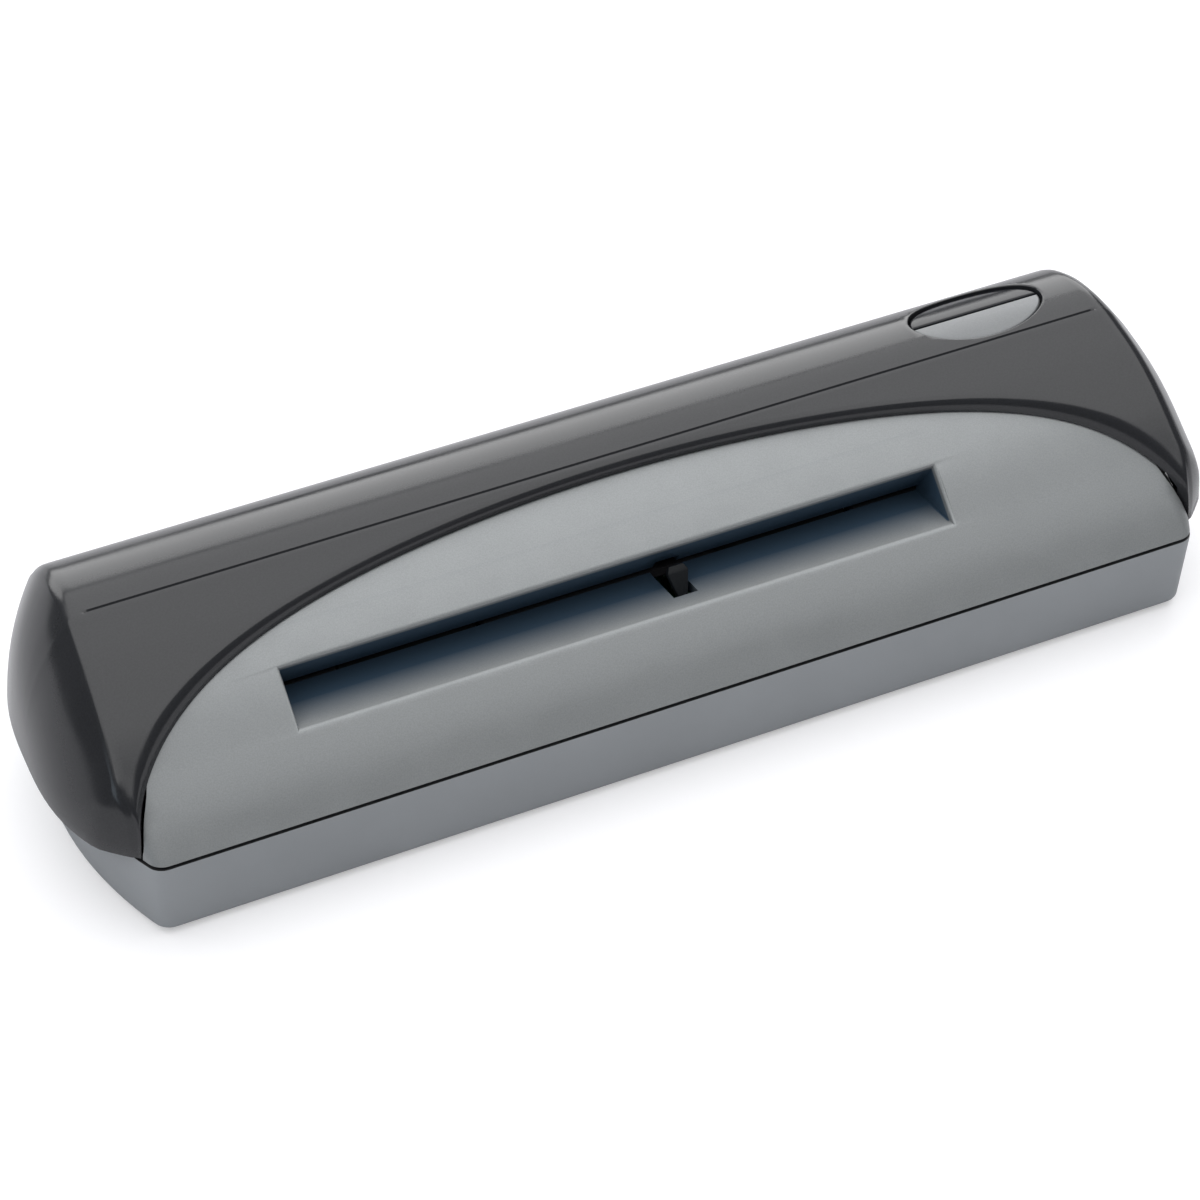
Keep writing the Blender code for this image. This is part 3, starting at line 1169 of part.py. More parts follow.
def make_motor():
    place = (MOTOR_Y, MOTOR_Z)
    steel = material("motor_steel", (0.48, 0.49, 0.5), 0.3, 1.0)
    bore = MOTOR_SHAFT_RADIUS + GAP
    finish("drive_motor", turned([
        (MOTOR_X + MOTOR_SHAFT_DEPTH, 0.0), (MOTOR_X + MOTOR_SHAFT_DEPTH, bore),
        (MOTOR_X - MOTOR_BOSS_LENGTH, bore), (MOTOR_X - MOTOR_BOSS_LENGTH, MOTOR_BOSS_RADIUS),
        (MOTOR_X, MOTOR_BOSS_RADIUS), (MOTOR_X, MOTOR_RADIUS),
        (MOTOR_X + MOTOR_LENGTH, MOTOR_RADIUS), (MOTOR_X + MOTOR_LENGTH, 0.0)], place, 28),
        steel, smooth=True)
    low = MOTOR_X + MOTOR_LENGTH + GAP
    cap = finish("motor_end_cap", rod(place, MOTOR_RADIUS - GAP, low, low + END_CAP_LENGTH, 28),
                 material("cap_black", (0.03, 0.03, 0.03), 0.5), smooth=True)
    for side in (-1, 1):
        middle = MOTOR_Y + side * TERMINAL_SPACING / 2
        join(cap, box((low + END_CAP_LENGTH - GAP, middle - TERMINAL_WIDTH / 2,
                       MOTOR_Z - TERMINAL_THICKNESS / 2),
                      (low + END_CAP_LENGTH + TERMINAL_LENGTH, middle + TERMINAL_WIDTH / 2,
                       MOTOR_Z + TERMINAL_THICKNESS / 2)), "motor_terminal")
    pinion = finish("motor_pinion", along_x(
        gear_outline(place, PINION_TEETH, MOTOR_ANGLE + math.pi + math.pi / PINION_TEETH),
        LARGE_PLANE, LARGE_PLANE + FACE_WIDTH), material("pinion_brass", (0.55, 0.42, 0.18), 0.3, 1.0))
    join(pinion, rod(place, MOTOR_SHAFT_RADIUS, LARGE_PLANE + FACE_WIDTH / 2,
                     MOTOR_X + MOTOR_SHAFT_DEPTH - GAP, 12), "motor_pinion_shaft")
    move_origin(pinion, (LARGE_PLANE, *place))


def make_motor_bracket():
    front, low = REDUCTION_Y - BRACKET_MARGIN, FLOOR_TOP + GAP
    top = REDUCTION_Z + BRACKET_HEAD
    rear = MOTOR_Y + MOTOR_RADIUS + BRACKET_MARGIN
    outline = [(front, low), (rear, low), (rear, MOTOR_Z + MOTOR_RADIUS),
               (REDUCTION_Y + BRACKET_MARGIN, top), (front, top)]
    bracket = finish("motor_bracket", along_x(outline, BRACKET_X, BRACKET_X + BRACKET_THICKNESS),
                     material("sheet_steel", (0.45, 0.46, 0.47), 0.4, 1.0))
    join(bracket, box((PATH_CENTRE + PLATE_OUTER + GAP, rear - BRACKET_THICKNESS, low),
                      (BRACKET_X + BRACKET_THICKNESS / 2, rear, MOTOR_Z + BRACKET_RETURN_HEAD)),
         "motor_bracket_return")
    low_x, high_x = BRACKET_X - OVERRUN, BRACKET_X + BRACKET_THICKNESS + OVERRUN
    cut(bracket, rod((MOTOR_Y, MOTOR_Z), MOTOR_BOSS_RADIUS + GAP, low_x, high_x, 20),
        "motor_bracket_boss_hole")
    cut(bracket, rod((REDUCTION_Y, REDUCTION_Z), GEAR_PIN_BORE, low_x, high_x, 12),
        "motor_bracket_pin_hole")


def make_main_board():
    half = BOARD_LENGTH / 2
    finish("main_board", box((PATH_CENTRE - half, BOARD_FRONT, BOARD_LOW),
                             (PATH_CENTRE + half, BOARD_REAR, BOARD_TOP)),
           material("board_green", (0.03, 0.16, 0.07), 0.5))
    low = BOARD_TOP + GAP
    black = material("chip_black", (0.025, 0.025, 0.028), 0.5)
    white = material("connector_white", (0.72, 0.71, 0.66), 0.5)
    for name, (x, y, length, depth, height) in BOARD_PARTS.items():
        finish(name, box((x - length / 2, y - depth / 2, low),
                         (x + length / 2, y + depth / 2, low + height)),
               black if name.endswith("chip") else white)
    finish("capacitor", turned([
        (low, 0.0), (low, CAPACITOR_RADIUS), (low + CAPACITOR_HEIGHT - CAPACITOR_BEVEL, CAPACITOR_RADIUS),
        (low + CAPACITOR_HEIGHT, CAPACITOR_RADIUS - CAPACITOR_BEVEL), (low + CAPACITOR_HEIGHT, 0.0)],
        (CAPACITOR_X, CAPACITOR_Y), 20, "z"), material("capacitor_sleeve", (0.04, 0.05, 0.12), 0.4),
        smooth=True)
    front = lever_flag()[1] - CARD_SENSOR_DEPTH / 2
    sensor = finish("card_sensor", box(
        (LEVER_X - CARD_SENSOR_LENGTH / 2, front, low),
        (LEVER_X + CARD_SENSOR_LENGTH / 2, front + CARD_SENSOR_DEPTH, low + CARD_SENSOR_HEIGHT)), black)
    cut(sensor, box((LEVER_X - CARD_SENSOR_SLOT / 2, front - OVERRUN, low + CARD_SENSOR_SOLE),
                    (LEVER_X + CARD_SENSOR_SLOT / 2, front + CARD_SENSOR_DEPTH + OVERRUN,
                     low + CARD_SENSOR_HEIGHT + OVERRUN)), "card_sensor_slot")


def make_usb_socket():
    half, low = SOCKET_WIDTH / 2, BOARD_TOP + GAP
    rear = REAR_Y - BASE_DRAFT
    front, top = rear - SOCKET_DEPTH, low + SOCKET_HEIGHT
    shell = finish("usb_socket", box((SOCKET_X - half, front, low), (SOCKET_X + half, rear, top)),
                   material("socket_steel", (0.55, 0.56, 0.57), 0.3, 1.0))
    wall = SOCKET_WALL
    cut(shell, box((SOCKET_X - half + wall, front + wall, low + wall),
                   (SOCKET_X + half - wall, rear + OVERRUN, top - wall)), "usb_socket_mouth")
    inner = half - wall - GAP
    middle = (low + top) / 2
    tongue = finish("usb_tongue", box(
        (SOCKET_X - inner, front + wall + GAP, low + wall + GAP),
        (SOCKET_X + inner, front + wall + GAP + TONGUE_ROOT, top - wall - GAP)),
        material("tongue_black", (0.03, 0.03, 0.03), 0.5))
    join(tongue, box((SOCKET_X - inner + wall, front + wall + TONGUE_ROOT / 2,
                      middle - TONGUE_THICKNESS / 2),
                     (SOCKET_X + inner - wall, front + wall + TONGUE_ROOT + TONGUE_LENGTH,
                      middle + TONGUE_THICKNESS / 2)), "usb_tongue_blade")


def lever_arm(angle, sections):
    """An arm from the lever's axis: (distance, width, depth) sections at an angle from upright."""
    pivot_y, pivot_z = lever_pivot()
    rings = []
    for distance, width, depth in sections:
        y, z = pivot_y + distance * math.sin(angle), pivot_z + distance * math.cos(angle)
        across_y, across_z = math.cos(angle) * depth / 2, -math.sin(angle) * depth / 2
        rings.append([
            (LEVER_X - width / 2, y - across_y, z - across_z),
            (LEVER_X + width / 2, y - across_y, z - across_z),
            (LEVER_X + width / 2, y + across_y, z + across_z),
            (LEVER_X - width / 2, y + across_y, z + across_z),
        ])
    return spanned(rings)


def make_card_sensor_lever():
    pivot = lever_pivot()
    lever = finish("card_sensor_lever", rod(
        pivot, LEVER_HUB_RADIUS, LEVER_X - LEVER_TIP_WIDTH / 2, LEVER_X + LEVER_TIP_WIDTH / 2, 16),
        material("lever_black", (0.03, 0.03, 0.032), 0.4))
    stub = LEVER_TIP_WIDTH / 2 + LEVER_STUB_LENGTH
    join(lever, rod(pivot, LEVER_STUB_RADIUS, LEVER_X - stub, LEVER_X + stub, 12), "lever_stubs")
    tip = LEVER_TIP_WIDTH - LEVER_WIDTH
    join(lever, lever_arm(LEVER_LEAN, [
        (0.0, LEVER_WIDTH, LEVER_THICKNESS), (LEVER_TAPER_START, LEVER_WIDTH, LEVER_THICKNESS),
        (LEVER_REACH - tip / 2, LEVER_TIP_WIDTH, LEVER_THICKNESS),
        (LEVER_REACH, LEVER_TIP_WIDTH - tip / 2, LEVER_THICKNESS / 2)]), "lever_finger")
    join(lever, lever_arm(LEVER_FLAG_LEAN, [
        (0.0, LEVER_WIDTH, LEVER_FLAG_DEPTH), (lever_flag()[0], LEVER_WIDTH, LEVER_FLAG_DEPTH)]),
        "lever_flag")
    move_origin(lever, (LEVER_X, *pivot))


clear_scene()
make_base()
make_front_panel()
make_cover()
make_scan_button()
make_status_window()
make_button_board()
make_feet()
make_screws()
make_scan_frame()
make_upper_guides()
make_reference_strip()
make_image_sensor()
make_rollers()
make_gears()
make_motor()
make_motor_bracket()
make_main_board()
make_usb_socket()
make_card_sensor_lever()
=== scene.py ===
"""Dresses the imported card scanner: finer shells, finishes for every piece, stage and camera.

It is laid out as an add-on and run as a script. Each operator makes one piece, or one group of
like pieces, from the sizes and colours in the panel's settings.
"""

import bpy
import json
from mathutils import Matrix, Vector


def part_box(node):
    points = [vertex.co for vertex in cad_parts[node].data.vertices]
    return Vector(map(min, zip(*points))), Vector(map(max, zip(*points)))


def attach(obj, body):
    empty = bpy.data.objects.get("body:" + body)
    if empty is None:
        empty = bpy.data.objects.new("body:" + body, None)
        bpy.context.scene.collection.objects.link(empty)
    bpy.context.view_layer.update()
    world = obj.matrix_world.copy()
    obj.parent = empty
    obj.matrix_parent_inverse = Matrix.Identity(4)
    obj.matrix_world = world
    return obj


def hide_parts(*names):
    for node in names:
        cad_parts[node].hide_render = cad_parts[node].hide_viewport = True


bl_info = {
    "name": "Card scanner",
    "version": (1, 0, 0),
    "blender": (4, 5, 0),
    "location": "View3D > Sidebar > Card scanner",
    "description": "Builds the shells, finishes and stage of a sheet-fed card scanner",
    "category": "Object",
}

import json
import math

import bmesh
import bpy
from bpy.props import FloatProperty, FloatVectorProperty, PointerProperty
from mathutils import Matrix, Vector

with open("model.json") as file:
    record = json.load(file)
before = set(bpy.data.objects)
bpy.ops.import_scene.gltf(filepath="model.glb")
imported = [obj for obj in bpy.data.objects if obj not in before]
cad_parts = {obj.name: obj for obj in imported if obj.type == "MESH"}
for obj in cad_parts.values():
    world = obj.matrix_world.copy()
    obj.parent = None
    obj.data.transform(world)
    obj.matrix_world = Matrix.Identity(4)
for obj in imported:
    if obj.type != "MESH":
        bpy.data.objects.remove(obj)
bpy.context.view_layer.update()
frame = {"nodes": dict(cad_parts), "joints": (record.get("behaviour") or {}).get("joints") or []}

MM = 0.001
SMALL_GAP = 0.3 * MM
PAST = 6.0 * MM
WIDE = 130.0 * MM
CORNERS = ("front_left", "front_right", "rear_left", "rear_right")

# How far the hood's face stands over the line that the panel and the base follow.
COVER_OVER = 2.0 * MM
# The case screws: room in the base, and posts in the panel and the cover.
SCREW_INSETS, SCREW_REACHES = (9.0 * MM, 17.0 * MM), (66.0 * MM, 83.0 * MM)
BOSS_RADIUS, BOSS_TOP = 4.1 * MM, 9.0 * MM
HEAD_ROOM, HEAD_ROOM_TOP = 3.2 * MM, 7.0 * MM
THREAD_RADIUS, THREAD_TOP = 1.5 * MM, 18.0 * MM
PANEL_POST, COVER_POST, POST_LOW = 3.0 * MM, 2.6 * MM, 9.3 * MM
# Recesses of the base for a foot and for the cable's socket.
FOOT_POCKET, FOOT_POCKET_DEPTH = 4.3 * MM, 0.8 * MM
SOCKET_ROOM = 4.0 * MM
# How far the lever's finger leans back from upright at rest.
LEVER_REST = math.radians(30)
# Posts of the button's board, with the pins that go through it.
BOARD_POST, BOARD_PIN, BOARD_PIN_RISE = 1.6 * MM, 0.8 * MM, 1.0 * MM
# The camera looks at this point, with the picture moved by these shares of its width.
CAMERA_TARGET, CAMERA_SHIFT = (-0.9 * MM, -0.76 * MM, 20.25 * MM), (-0.01048, -0.03238)

# Section of the case across its length: share of its depth, share of its rise.
FRONT_SECTION_SHARES = (
    (0.0, 0.0), (0.070, 0.190), (0.161, 0.398), (0.291, 0.675), (0.410, 0.850), (0.548, 0.968),
)
REAR_SECTION_SHARES = (
    (0.548, 0.968), (0.640, 0.990), (0.735, 0.958), (0.820, 0.865), (0.900, 0.680),
    (0.958, 0.430), (0.990, 0.180), (1.0, 0.0),
)


def length(name, description, default):
    return FloatProperty(name=name, description=description, default=default * MM,
                         unit="LENGTH", subtype="DISTANCE", precision=5)


def colour(name, description, default):
    return FloatVectorProperty(name=name, description=description, default=default,
                               subtype="COLOR", size=3, min=0.0, max=1.0)


class CaseSizes(bpy.types.PropertyGroup):
    """Sizes of the case's shells."""

    depth: length("Depth", "Depth of the case, front to back", 56.0)
    top_height: length("Height", "Height of the cover's top", 39.6)
    parting_height: length("Parting height", "Height of the line between base and cover", 14.5)
    parting_groove: length("Parting groove", "Width of the groove at the parting line", 0.6)
    foot_stand: length("Foot stand", "How far the feet lift the base", 0.8)
    half_length: length("Half length", "Half length of the case at its corners", 85.3)
    end_bow: length("End bow", "How far each end bows outwards", 6.0)
    front_corner: length("Front corner", "Radius of the front corners in plan", 2.7)
    rear_corner: length("Rear corner", "Radius of the rear corners in plan", 5.0)
    wall: length("Wall", "Wall of the base and the panel", 2.0)
    base_draft: length("Base draft", "How far the base narrows to its bottom", 1.0)
    base_round: length("Base rounding", "Radius of the base's bottom edge", 1.2)
    cover_wall: length("Cover wall", "Wall of the cover", 1.7)
    cover_stand: length("Cover stand", "How far the cover stands out from the panel", 1.95)
    tip_setback: length("Tip setback", "How far the cover's legs lie behind the front", 3.2)
    rim_front: length("Rim at the front", "Half length of the hood at the front", 88.8)
    rim_rear: length("Rim at the rear", "Half length of the hood at the rear", 85.2)
    rim_lean: length("Rim lean", "How far the rim leans in at the top", 1.5)
    rim_round: length("Rim rounding", "Rounding between hood and end face", 1.5)
    dome_bulge: length("End bulge", "How far the end faces bulge", 7.5)
    arch_half_width: length("Arch half width", "Half width of the cover's front arch", 86.6)
    arch_depth: length("Arch depth", "How far the arch reaches back", 27.8)
    arch_round: length("Arch rounding", "Reach of the rounding on the arch's edge", 1.2)
    tip_round: length("Tip rounding", "Reach of the rounding at the arch's tips", 2.4)
    tuck: length("Tuck", "How far the panel reaches under the cover", 2.8)
    tuck_narrowing: length("Tuck narrowing", "How far the tuck stays clear of the tips", 3.1)
    panel_lean: length("Panel lean", "How far the panel's ends lean in", 3.85)
    crease_place: length("Crease place", "Place of the crease along the hood", 1.8)
    crease_width: length("Crease width", "Width of the crease along the hood", 0.45)
    crease_depth: length("Crease depth", "Depth of the crease along the hood", 0.28)


class SlotSizes(bpy.types.PropertyGroup):
    """Sizes of the card slot and the path behind it."""

    centre: length("Slot centre", "Middle of the card path along the case", -5.9)
    width: length("Slot width", "Width of the card slot", 107.0)
    lip_setback: length("Lip setback", "How far the slot's lip lies behind the front", 8.8)
    mouth_depth: length("Mouth depth", "Depth of the slot's mouth", 7.0)
    funnel_run: length("Funnel run", "How far the funnel narrows behind the mouth", 4.0)
    funnel_wall: length("Funnel wall", "Wall of the funnel", 1.5)
    floor_drop: length("Floor drop", "How far the funnel's floor falls", 1.8)
    throat: length("Throat", "Height of the throat", 1.6)
    throat_run: length("Throat run", "Straight run of the throat", 0.8)
    edge_round: length("Edge rounding", "Rounding of the slot's edges", 0.5)
    exit_width: length("Exit width", "Width of the rear exit slot", 110.0)
    exit_height: length("Exit height", "Height of the rear exit slot", 4.8)


class OvalSizes(bpy.types.PropertyGroup):
    """Sizes of the oval with the button and the window."""

    x: length("Oval along the case", "Middle of the oval along the case", 66.6)
    y: length("Oval across the case", "Middle of the oval across the case", 9.65)
    half_length: length("Half length", "Half length of the oval", 11.0)
    half_depth: length("Half depth", "Half depth of the oval", 6.55)
    sink: length("Sink", "How far the oval lies under the cover's face", 0.5)
    plate: length("Plate", "Thickness of the button's plate", 1.4)
    flange: length("Flange", "Flange under the cover", 0.9)


class Finishes(bpy.types.PropertyGroup):
    """Colours of the finishes, and of the painted shade in the card slot and in the parting groove.
    """

    cover: colour("Cover", "Glossy charcoal of the cover", (0.022, 0.023, 0.026))
    panel: colour("Panel", "Silver paint of the front panel", (0.275, 0.288, 0.294))
    lever: colour("Lever", "Black plastic of the sensing lever", (0.010, 0.012, 0.014))
    # Colour of the painted shade deep in the card slot.
    slot: colour("Slot", "Dark plastic deep in the card slot", (0.038, 0.068, 0.105))
    # Colour of the painted shade in the groove at the parting line, laid on the top of the base.
    gap: colour("Gap", "Dark of the groove at the parting line", (0.015, 0.015, 0.017))
    base: colour("Base", "Grey plastic of the base", (0.35, 0.37, 0.388))
    button: colour("Button", "Silver of the scan button", (0.165, 0.172, 0.178))
    window: colour("Window", "Smoked plastic of the status window", (0.012, 0.013, 0.016))
    rubber: colour("Rubber", "Rubber of feet and rollers", (0.022, 0.022, 0.023))
    steel: colour("Steel", "Screws, shafts and sheet metal", (0.50, 0.51, 0.53))
    brass: colour("Brass", "Bushes and pinion", (0.58, 0.43, 0.20))
    nylon: colour("Nylon", "Gears and rollers", (0.72, 0.70, 0.63))
    board: colour("Board", "Circuit boards", (0.02, 0.13, 0.055))
    black: colour("Black plastic", "Moulded black parts", (0.030, 0.030, 0.033))


class StageSettings(bpy.types.PropertyGroup):
    """Camera, floor and lamps."""

    azimuth: FloatProperty(name="Azimuth", description="Camera's place round the scanner",
                           default=math.radians(-25.68), subtype="ANGLE")
    elevation: FloatProperty(name="Elevation", description="Camera's angle above the horizon",
                             default=math.radians(40.0), subtype="ANGLE")
    distance: length("Distance", "Distance of the camera", 645.0)
    lens: FloatProperty(name="Lens", description="Focal length of the camera, in millimetres",
                        default=127.96, unit="CAMERA")
    floor: colour("Floor", "Colour of the floor", (0.62, 0.62, 0.64))
    above: FloatProperty(name="Lamp above", description="Power of the lamp above", default=28.0,
                         min=0.0, subtype="POWER")
    behind: FloatProperty(name="Lamp behind", description="Power of the lamp behind",
                          default=15.0, min=0.0, subtype="POWER")
    sky: FloatProperty(name="Sky", description="Strength of the even light", default=0.10,
                       min=0.0)


# Lines

def smooth_line(points, steps):
    """Points along a smooth curve that passes through each of the given points."""
    curve = []
    for i in range(len(points) - 1):
        before, start, end = points[max(i - 1, 0)], points[i], points[i + 1]
        after = points[min(i + 2, len(points) - 1)]
        for step in range(steps):
            t = step / steps
            curve.append(tuple(
                0.5 * (2 * s + (e - b) * t + (2 * b - 5 * s + 4 * e - a) * t * t
                       + (3 * s - b - 3 * e + a) * t * t * t)
                for b, s, e, a in zip(before, start, end, after)))
    curve.append(points[-1])
    return curve


def moved_out(points, distance):
    """An open line moved to its left-hand side, here the outside of the case."""
    moved = []
    for i, (y, z) in enumerate(points):
        y0, z0 = points[max(i - 1, 0)]
        y1, z1 = points[min(i + 1, len(points) - 1)]
        run = math.hypot(y1 - y0, z1 - z0)
        moved.append((y - (z1 - z0) / run * distance, z + (y1 - y0) / run * distance))
    return moved


def front_of(case):
    return -case.depth / 2


def rear_of(case):
    return case.depth / 2 - COVER_OVER


def rise_of(case):
    return case.top_height - COVER_OVER - case.parting_height


def case_line(case, stand, steps=10):
    """The case's outer line across its length, moved outwards by stand: (y, z) points."""
    shares = smooth_line(FRONT_SECTION_SHARES, steps)[:-1]
    shares += smooth_line(REAR_SECTION_SHARES, steps)
    deep = rear_of(case) - front_of(case)
    line = [(front_of(case) + y * deep, case.parting_height + z * rise_of(case))
            for y, z in shares]
    return moved_out(line, stand)


def height_on(line, y):
    """Height of a line at the place y."""
    for (y0, z0), (y1, z1) in zip(line, line[1:]):
        if y0 <= y <= y1:
            return z0 + (z1 - z0) * (y - y0) / (y1 - y0)
    raise ValueError("the place lies outside the case's section")


def fillet(before, corner, after, radius, steps=5):
    """Points of an arc that rounds the corner between two directions."""
    b, c, a = Vector(before), Vector(corner), Vector(after)
    first, second = (b - c).normalized(), (a - c).normalized()
    half = first.angle(second) / 2
    if half > math.radians(88.0):
        return [tuple(c)] * (steps + 1)
    reach = radius / math.tan(half)
    centre = c + (first + second).normalized() * (radius / math.sin(half))
    start, end = c + first * reach - centre, c + second * reach - centre
    turn = start.angle_signed(end) if len(start) == 2 else start.angle(end)
    points = []
    for step in range(steps + 1):
        angle = -turn * step / steps
        x = start.x * math.cos(angle) - start.y * math.sin(angle)
        y = start.x * math.sin(angle) + start.y * math.cos(angle)
        points.append((centre.x + x, centre.y + y))
    return points


def quarter(size, steps=6):
    """Places of a rounded edge: how far each lies inside the side face and the end face."""
    turns = [math.pi / 2 * i / steps for i in range(steps + 1)]
    return [(size * (1 - math.sin(turn)), size * (1 - math.cos(turn))) for turn in turns]


def rounded_outline(corners, radii, steps=8, support=0.4 * MM):
    """A closed outline with corners rounded, and a support point beside each end of an arc."""
    outline = []
    count = len(corners)
    for i, corner in enumerate(corners):
        before, after = corners[i - 1], corners[(i + 1) % count]
        if not radii[i]:
            outline.append(corner)
            continue
        arc = fillet(before, corner, after, radii[i], steps)
        first, last = Vector(arc[0]), Vector(arc[-1])
        towards, away = Vector(before) - first, Vector(after) - last
        outline.append(tuple(first + towards.normalized() * min(support, towards.length / 3)))
        outline.extend(arc)
        outline.append(tuple(last + away.normalized() * min(support, away.length / 3)))
    return outline


# Solids

def edge_loop(bm, points):
    verts = [bm.verts.new(point) for point in points]
    edges = [bm.edges.new(pair) for pair in zip(verts, verts[1:] + verts[:1])]
    return verts, edges


def loft(loops):
    """A closed form: one loop of points, extruded through all the others and capped."""
    bm = bmesh.new()
    verts, edges = edge_loop(bm, loops[0])
    bmesh.ops.contextual_create(bm, geom=edges)
    for points in loops[1:]:
        made = bmesh.ops.extrude_edge_only(bm, edges=edges)
        new = {item for item in made["geom"] if isinstance(item, bmesh.types.BMVert)}
        following = []
        for vert in verts:
            following.append(next(
                edge.other_vert(vert) for edge in vert.link_edges
                if edge.other_vert(vert) in new))
        for vert, point in zip(following, points):
            vert.co = point
        verts = following
        edges = [bm.edges.get(pair) for pair in zip(verts, verts[1:] + verts[:1])]
    bmesh.ops.contextual_create(bm, geom=edges)
    return facing_out(bm)


def facing_out(bm):
    bmesh.ops.recalc_face_normals(bm, faces=bm.faces)
    if bm.calc_volume(signed=True) < 0.0:
        bmesh.ops.reverse_faces(bm, faces=bm.faces)
    return bm


def prism_x(outline, low, high):
    return loft([[(x, y, z) for y, z in outline] for x in (low, high)])


def prism_z(outline, low, high):
    return loft([[(x, y, z) for x, y in outline] for z in (low, high)])


def block(low, high):
    """A box between two corners."""
    bm = bmesh.new()
    bmesh.ops.create_cube(bm, size=1.0)
    size = [h - l for l, h in zip(low, high)]
    middle = [(h + l) / 2 for l, h in zip(low, high)]
    bmesh.ops.scale(bm, vec=size, verts=bm.verts)
    bmesh.ops.translate(bm, vec=middle, verts=bm.verts)
    return bm


def rod(place, radius, low, high, axis="z", sides=32):
    """A rod from low to high along z, or along x, where its place is (y, z)."""
    bm = bmesh.new()
    bmesh.ops.create_cone(bm, cap_ends=True, segments=sides, radius1=radius, radius2=radius,
                          depth=high - low)
    bmesh.ops.translate(bm, vec=(0.0, 0.0, (low + high) / 2), verts=bm.verts)
    if axis == "x":
        bmesh.ops.rotate(bm, matrix=Matrix.Rotation(math.radians(90), 3, "Y"), verts=bm.verts)
        bmesh.ops.translate(bm, vec=(0.0, place[0], place[1]), verts=bm.verts)
    else:
        bmesh.ops.translate(bm, vec=(place[0], place[1], 0.0), verts=bm.verts)
    return bm


def turned(profile, place, sides=40):
    """A closed form: a profile of (radius, height) points spun about an upright axis."""
    bm = bmesh.new()
    verts = [bm.verts.new((radius, 0.0, z)) for radius, z in profile]
    edges = [bm.edges.new(pair) for pair in zip(verts, verts[1:])]
    bmesh.ops.spin(bm, geom=verts + edges, cent=(0.0, 0.0, 0.0), axis=(0.0, 0.0, 1.0),
                   angle=math.tau, steps=sides, use_merge=True)
    bmesh.ops.remove_doubles(bm, verts=bm.verts, dist=1e-6)
    bmesh.ops.translate(bm, vec=(place[0], place[1], 0.0), verts=bm.verts)
    return facing_out(bm)


def placed(name, data):
    obj = bpy.data.objects.new(name, data)
    bpy.context.scene.collection.objects.link(obj)
    return obj


def helper(bm, name):
    """A plain object with the form's mesh."""
    mesh = bpy.data.meshes.new(name)
    bm.to_mesh(mesh)
    bm.free()
    return placed(name, mesh)


class Form:
    """A solid in the making: it takes cuts and joins in order, and ends as one plain mesh."""

    def __init__(self, name, bm):
        self.obj = helper(bm, name)

    def change(self, other, operation):
        """Makes one change and applies it, then drops the other solid."""
        if isinstance(other, bmesh.types.BMesh):
            other = helper(other, self.obj.name + "_helper")
        modifier = self.obj.modifiers.new(operation, "BOOLEAN")
        modifier.operation = operation
        modifier.solver = "EXACT"
        modifier.object = other
        bpy.context.view_layer.update()
        graph = bpy.context.evaluated_depsgraph_get()
        mesh = bpy.data.meshes.new_from_object(self.obj.evaluated_get(graph))
        self.obj.modifiers.clear()
        self.obj.data = mesh
        bpy.data.objects.remove(other, do_unlink=True)

    def cut(self, other):
        self.change(other, "DIFFERENCE")

    def join(self, other):
        self.change(other, "UNION")

    def keep(self, other):
        self.change(other, "INTERSECT")


# Finishes

def node(tree, kind, inputs, **settings):
    """A new node, with each input set to a value or linked to a socket."""
    made = tree.nodes.new("ShaderNode" + kind)
    for name, value in settings.items():
        setattr(made, name, value)
    for name, value in inputs.items():
        if isinstance(value, bpy.types.NodeSocket):
            tree.links.new(value, made.inputs[name])
        else:
            made.inputs[name].default_value = value
    return made


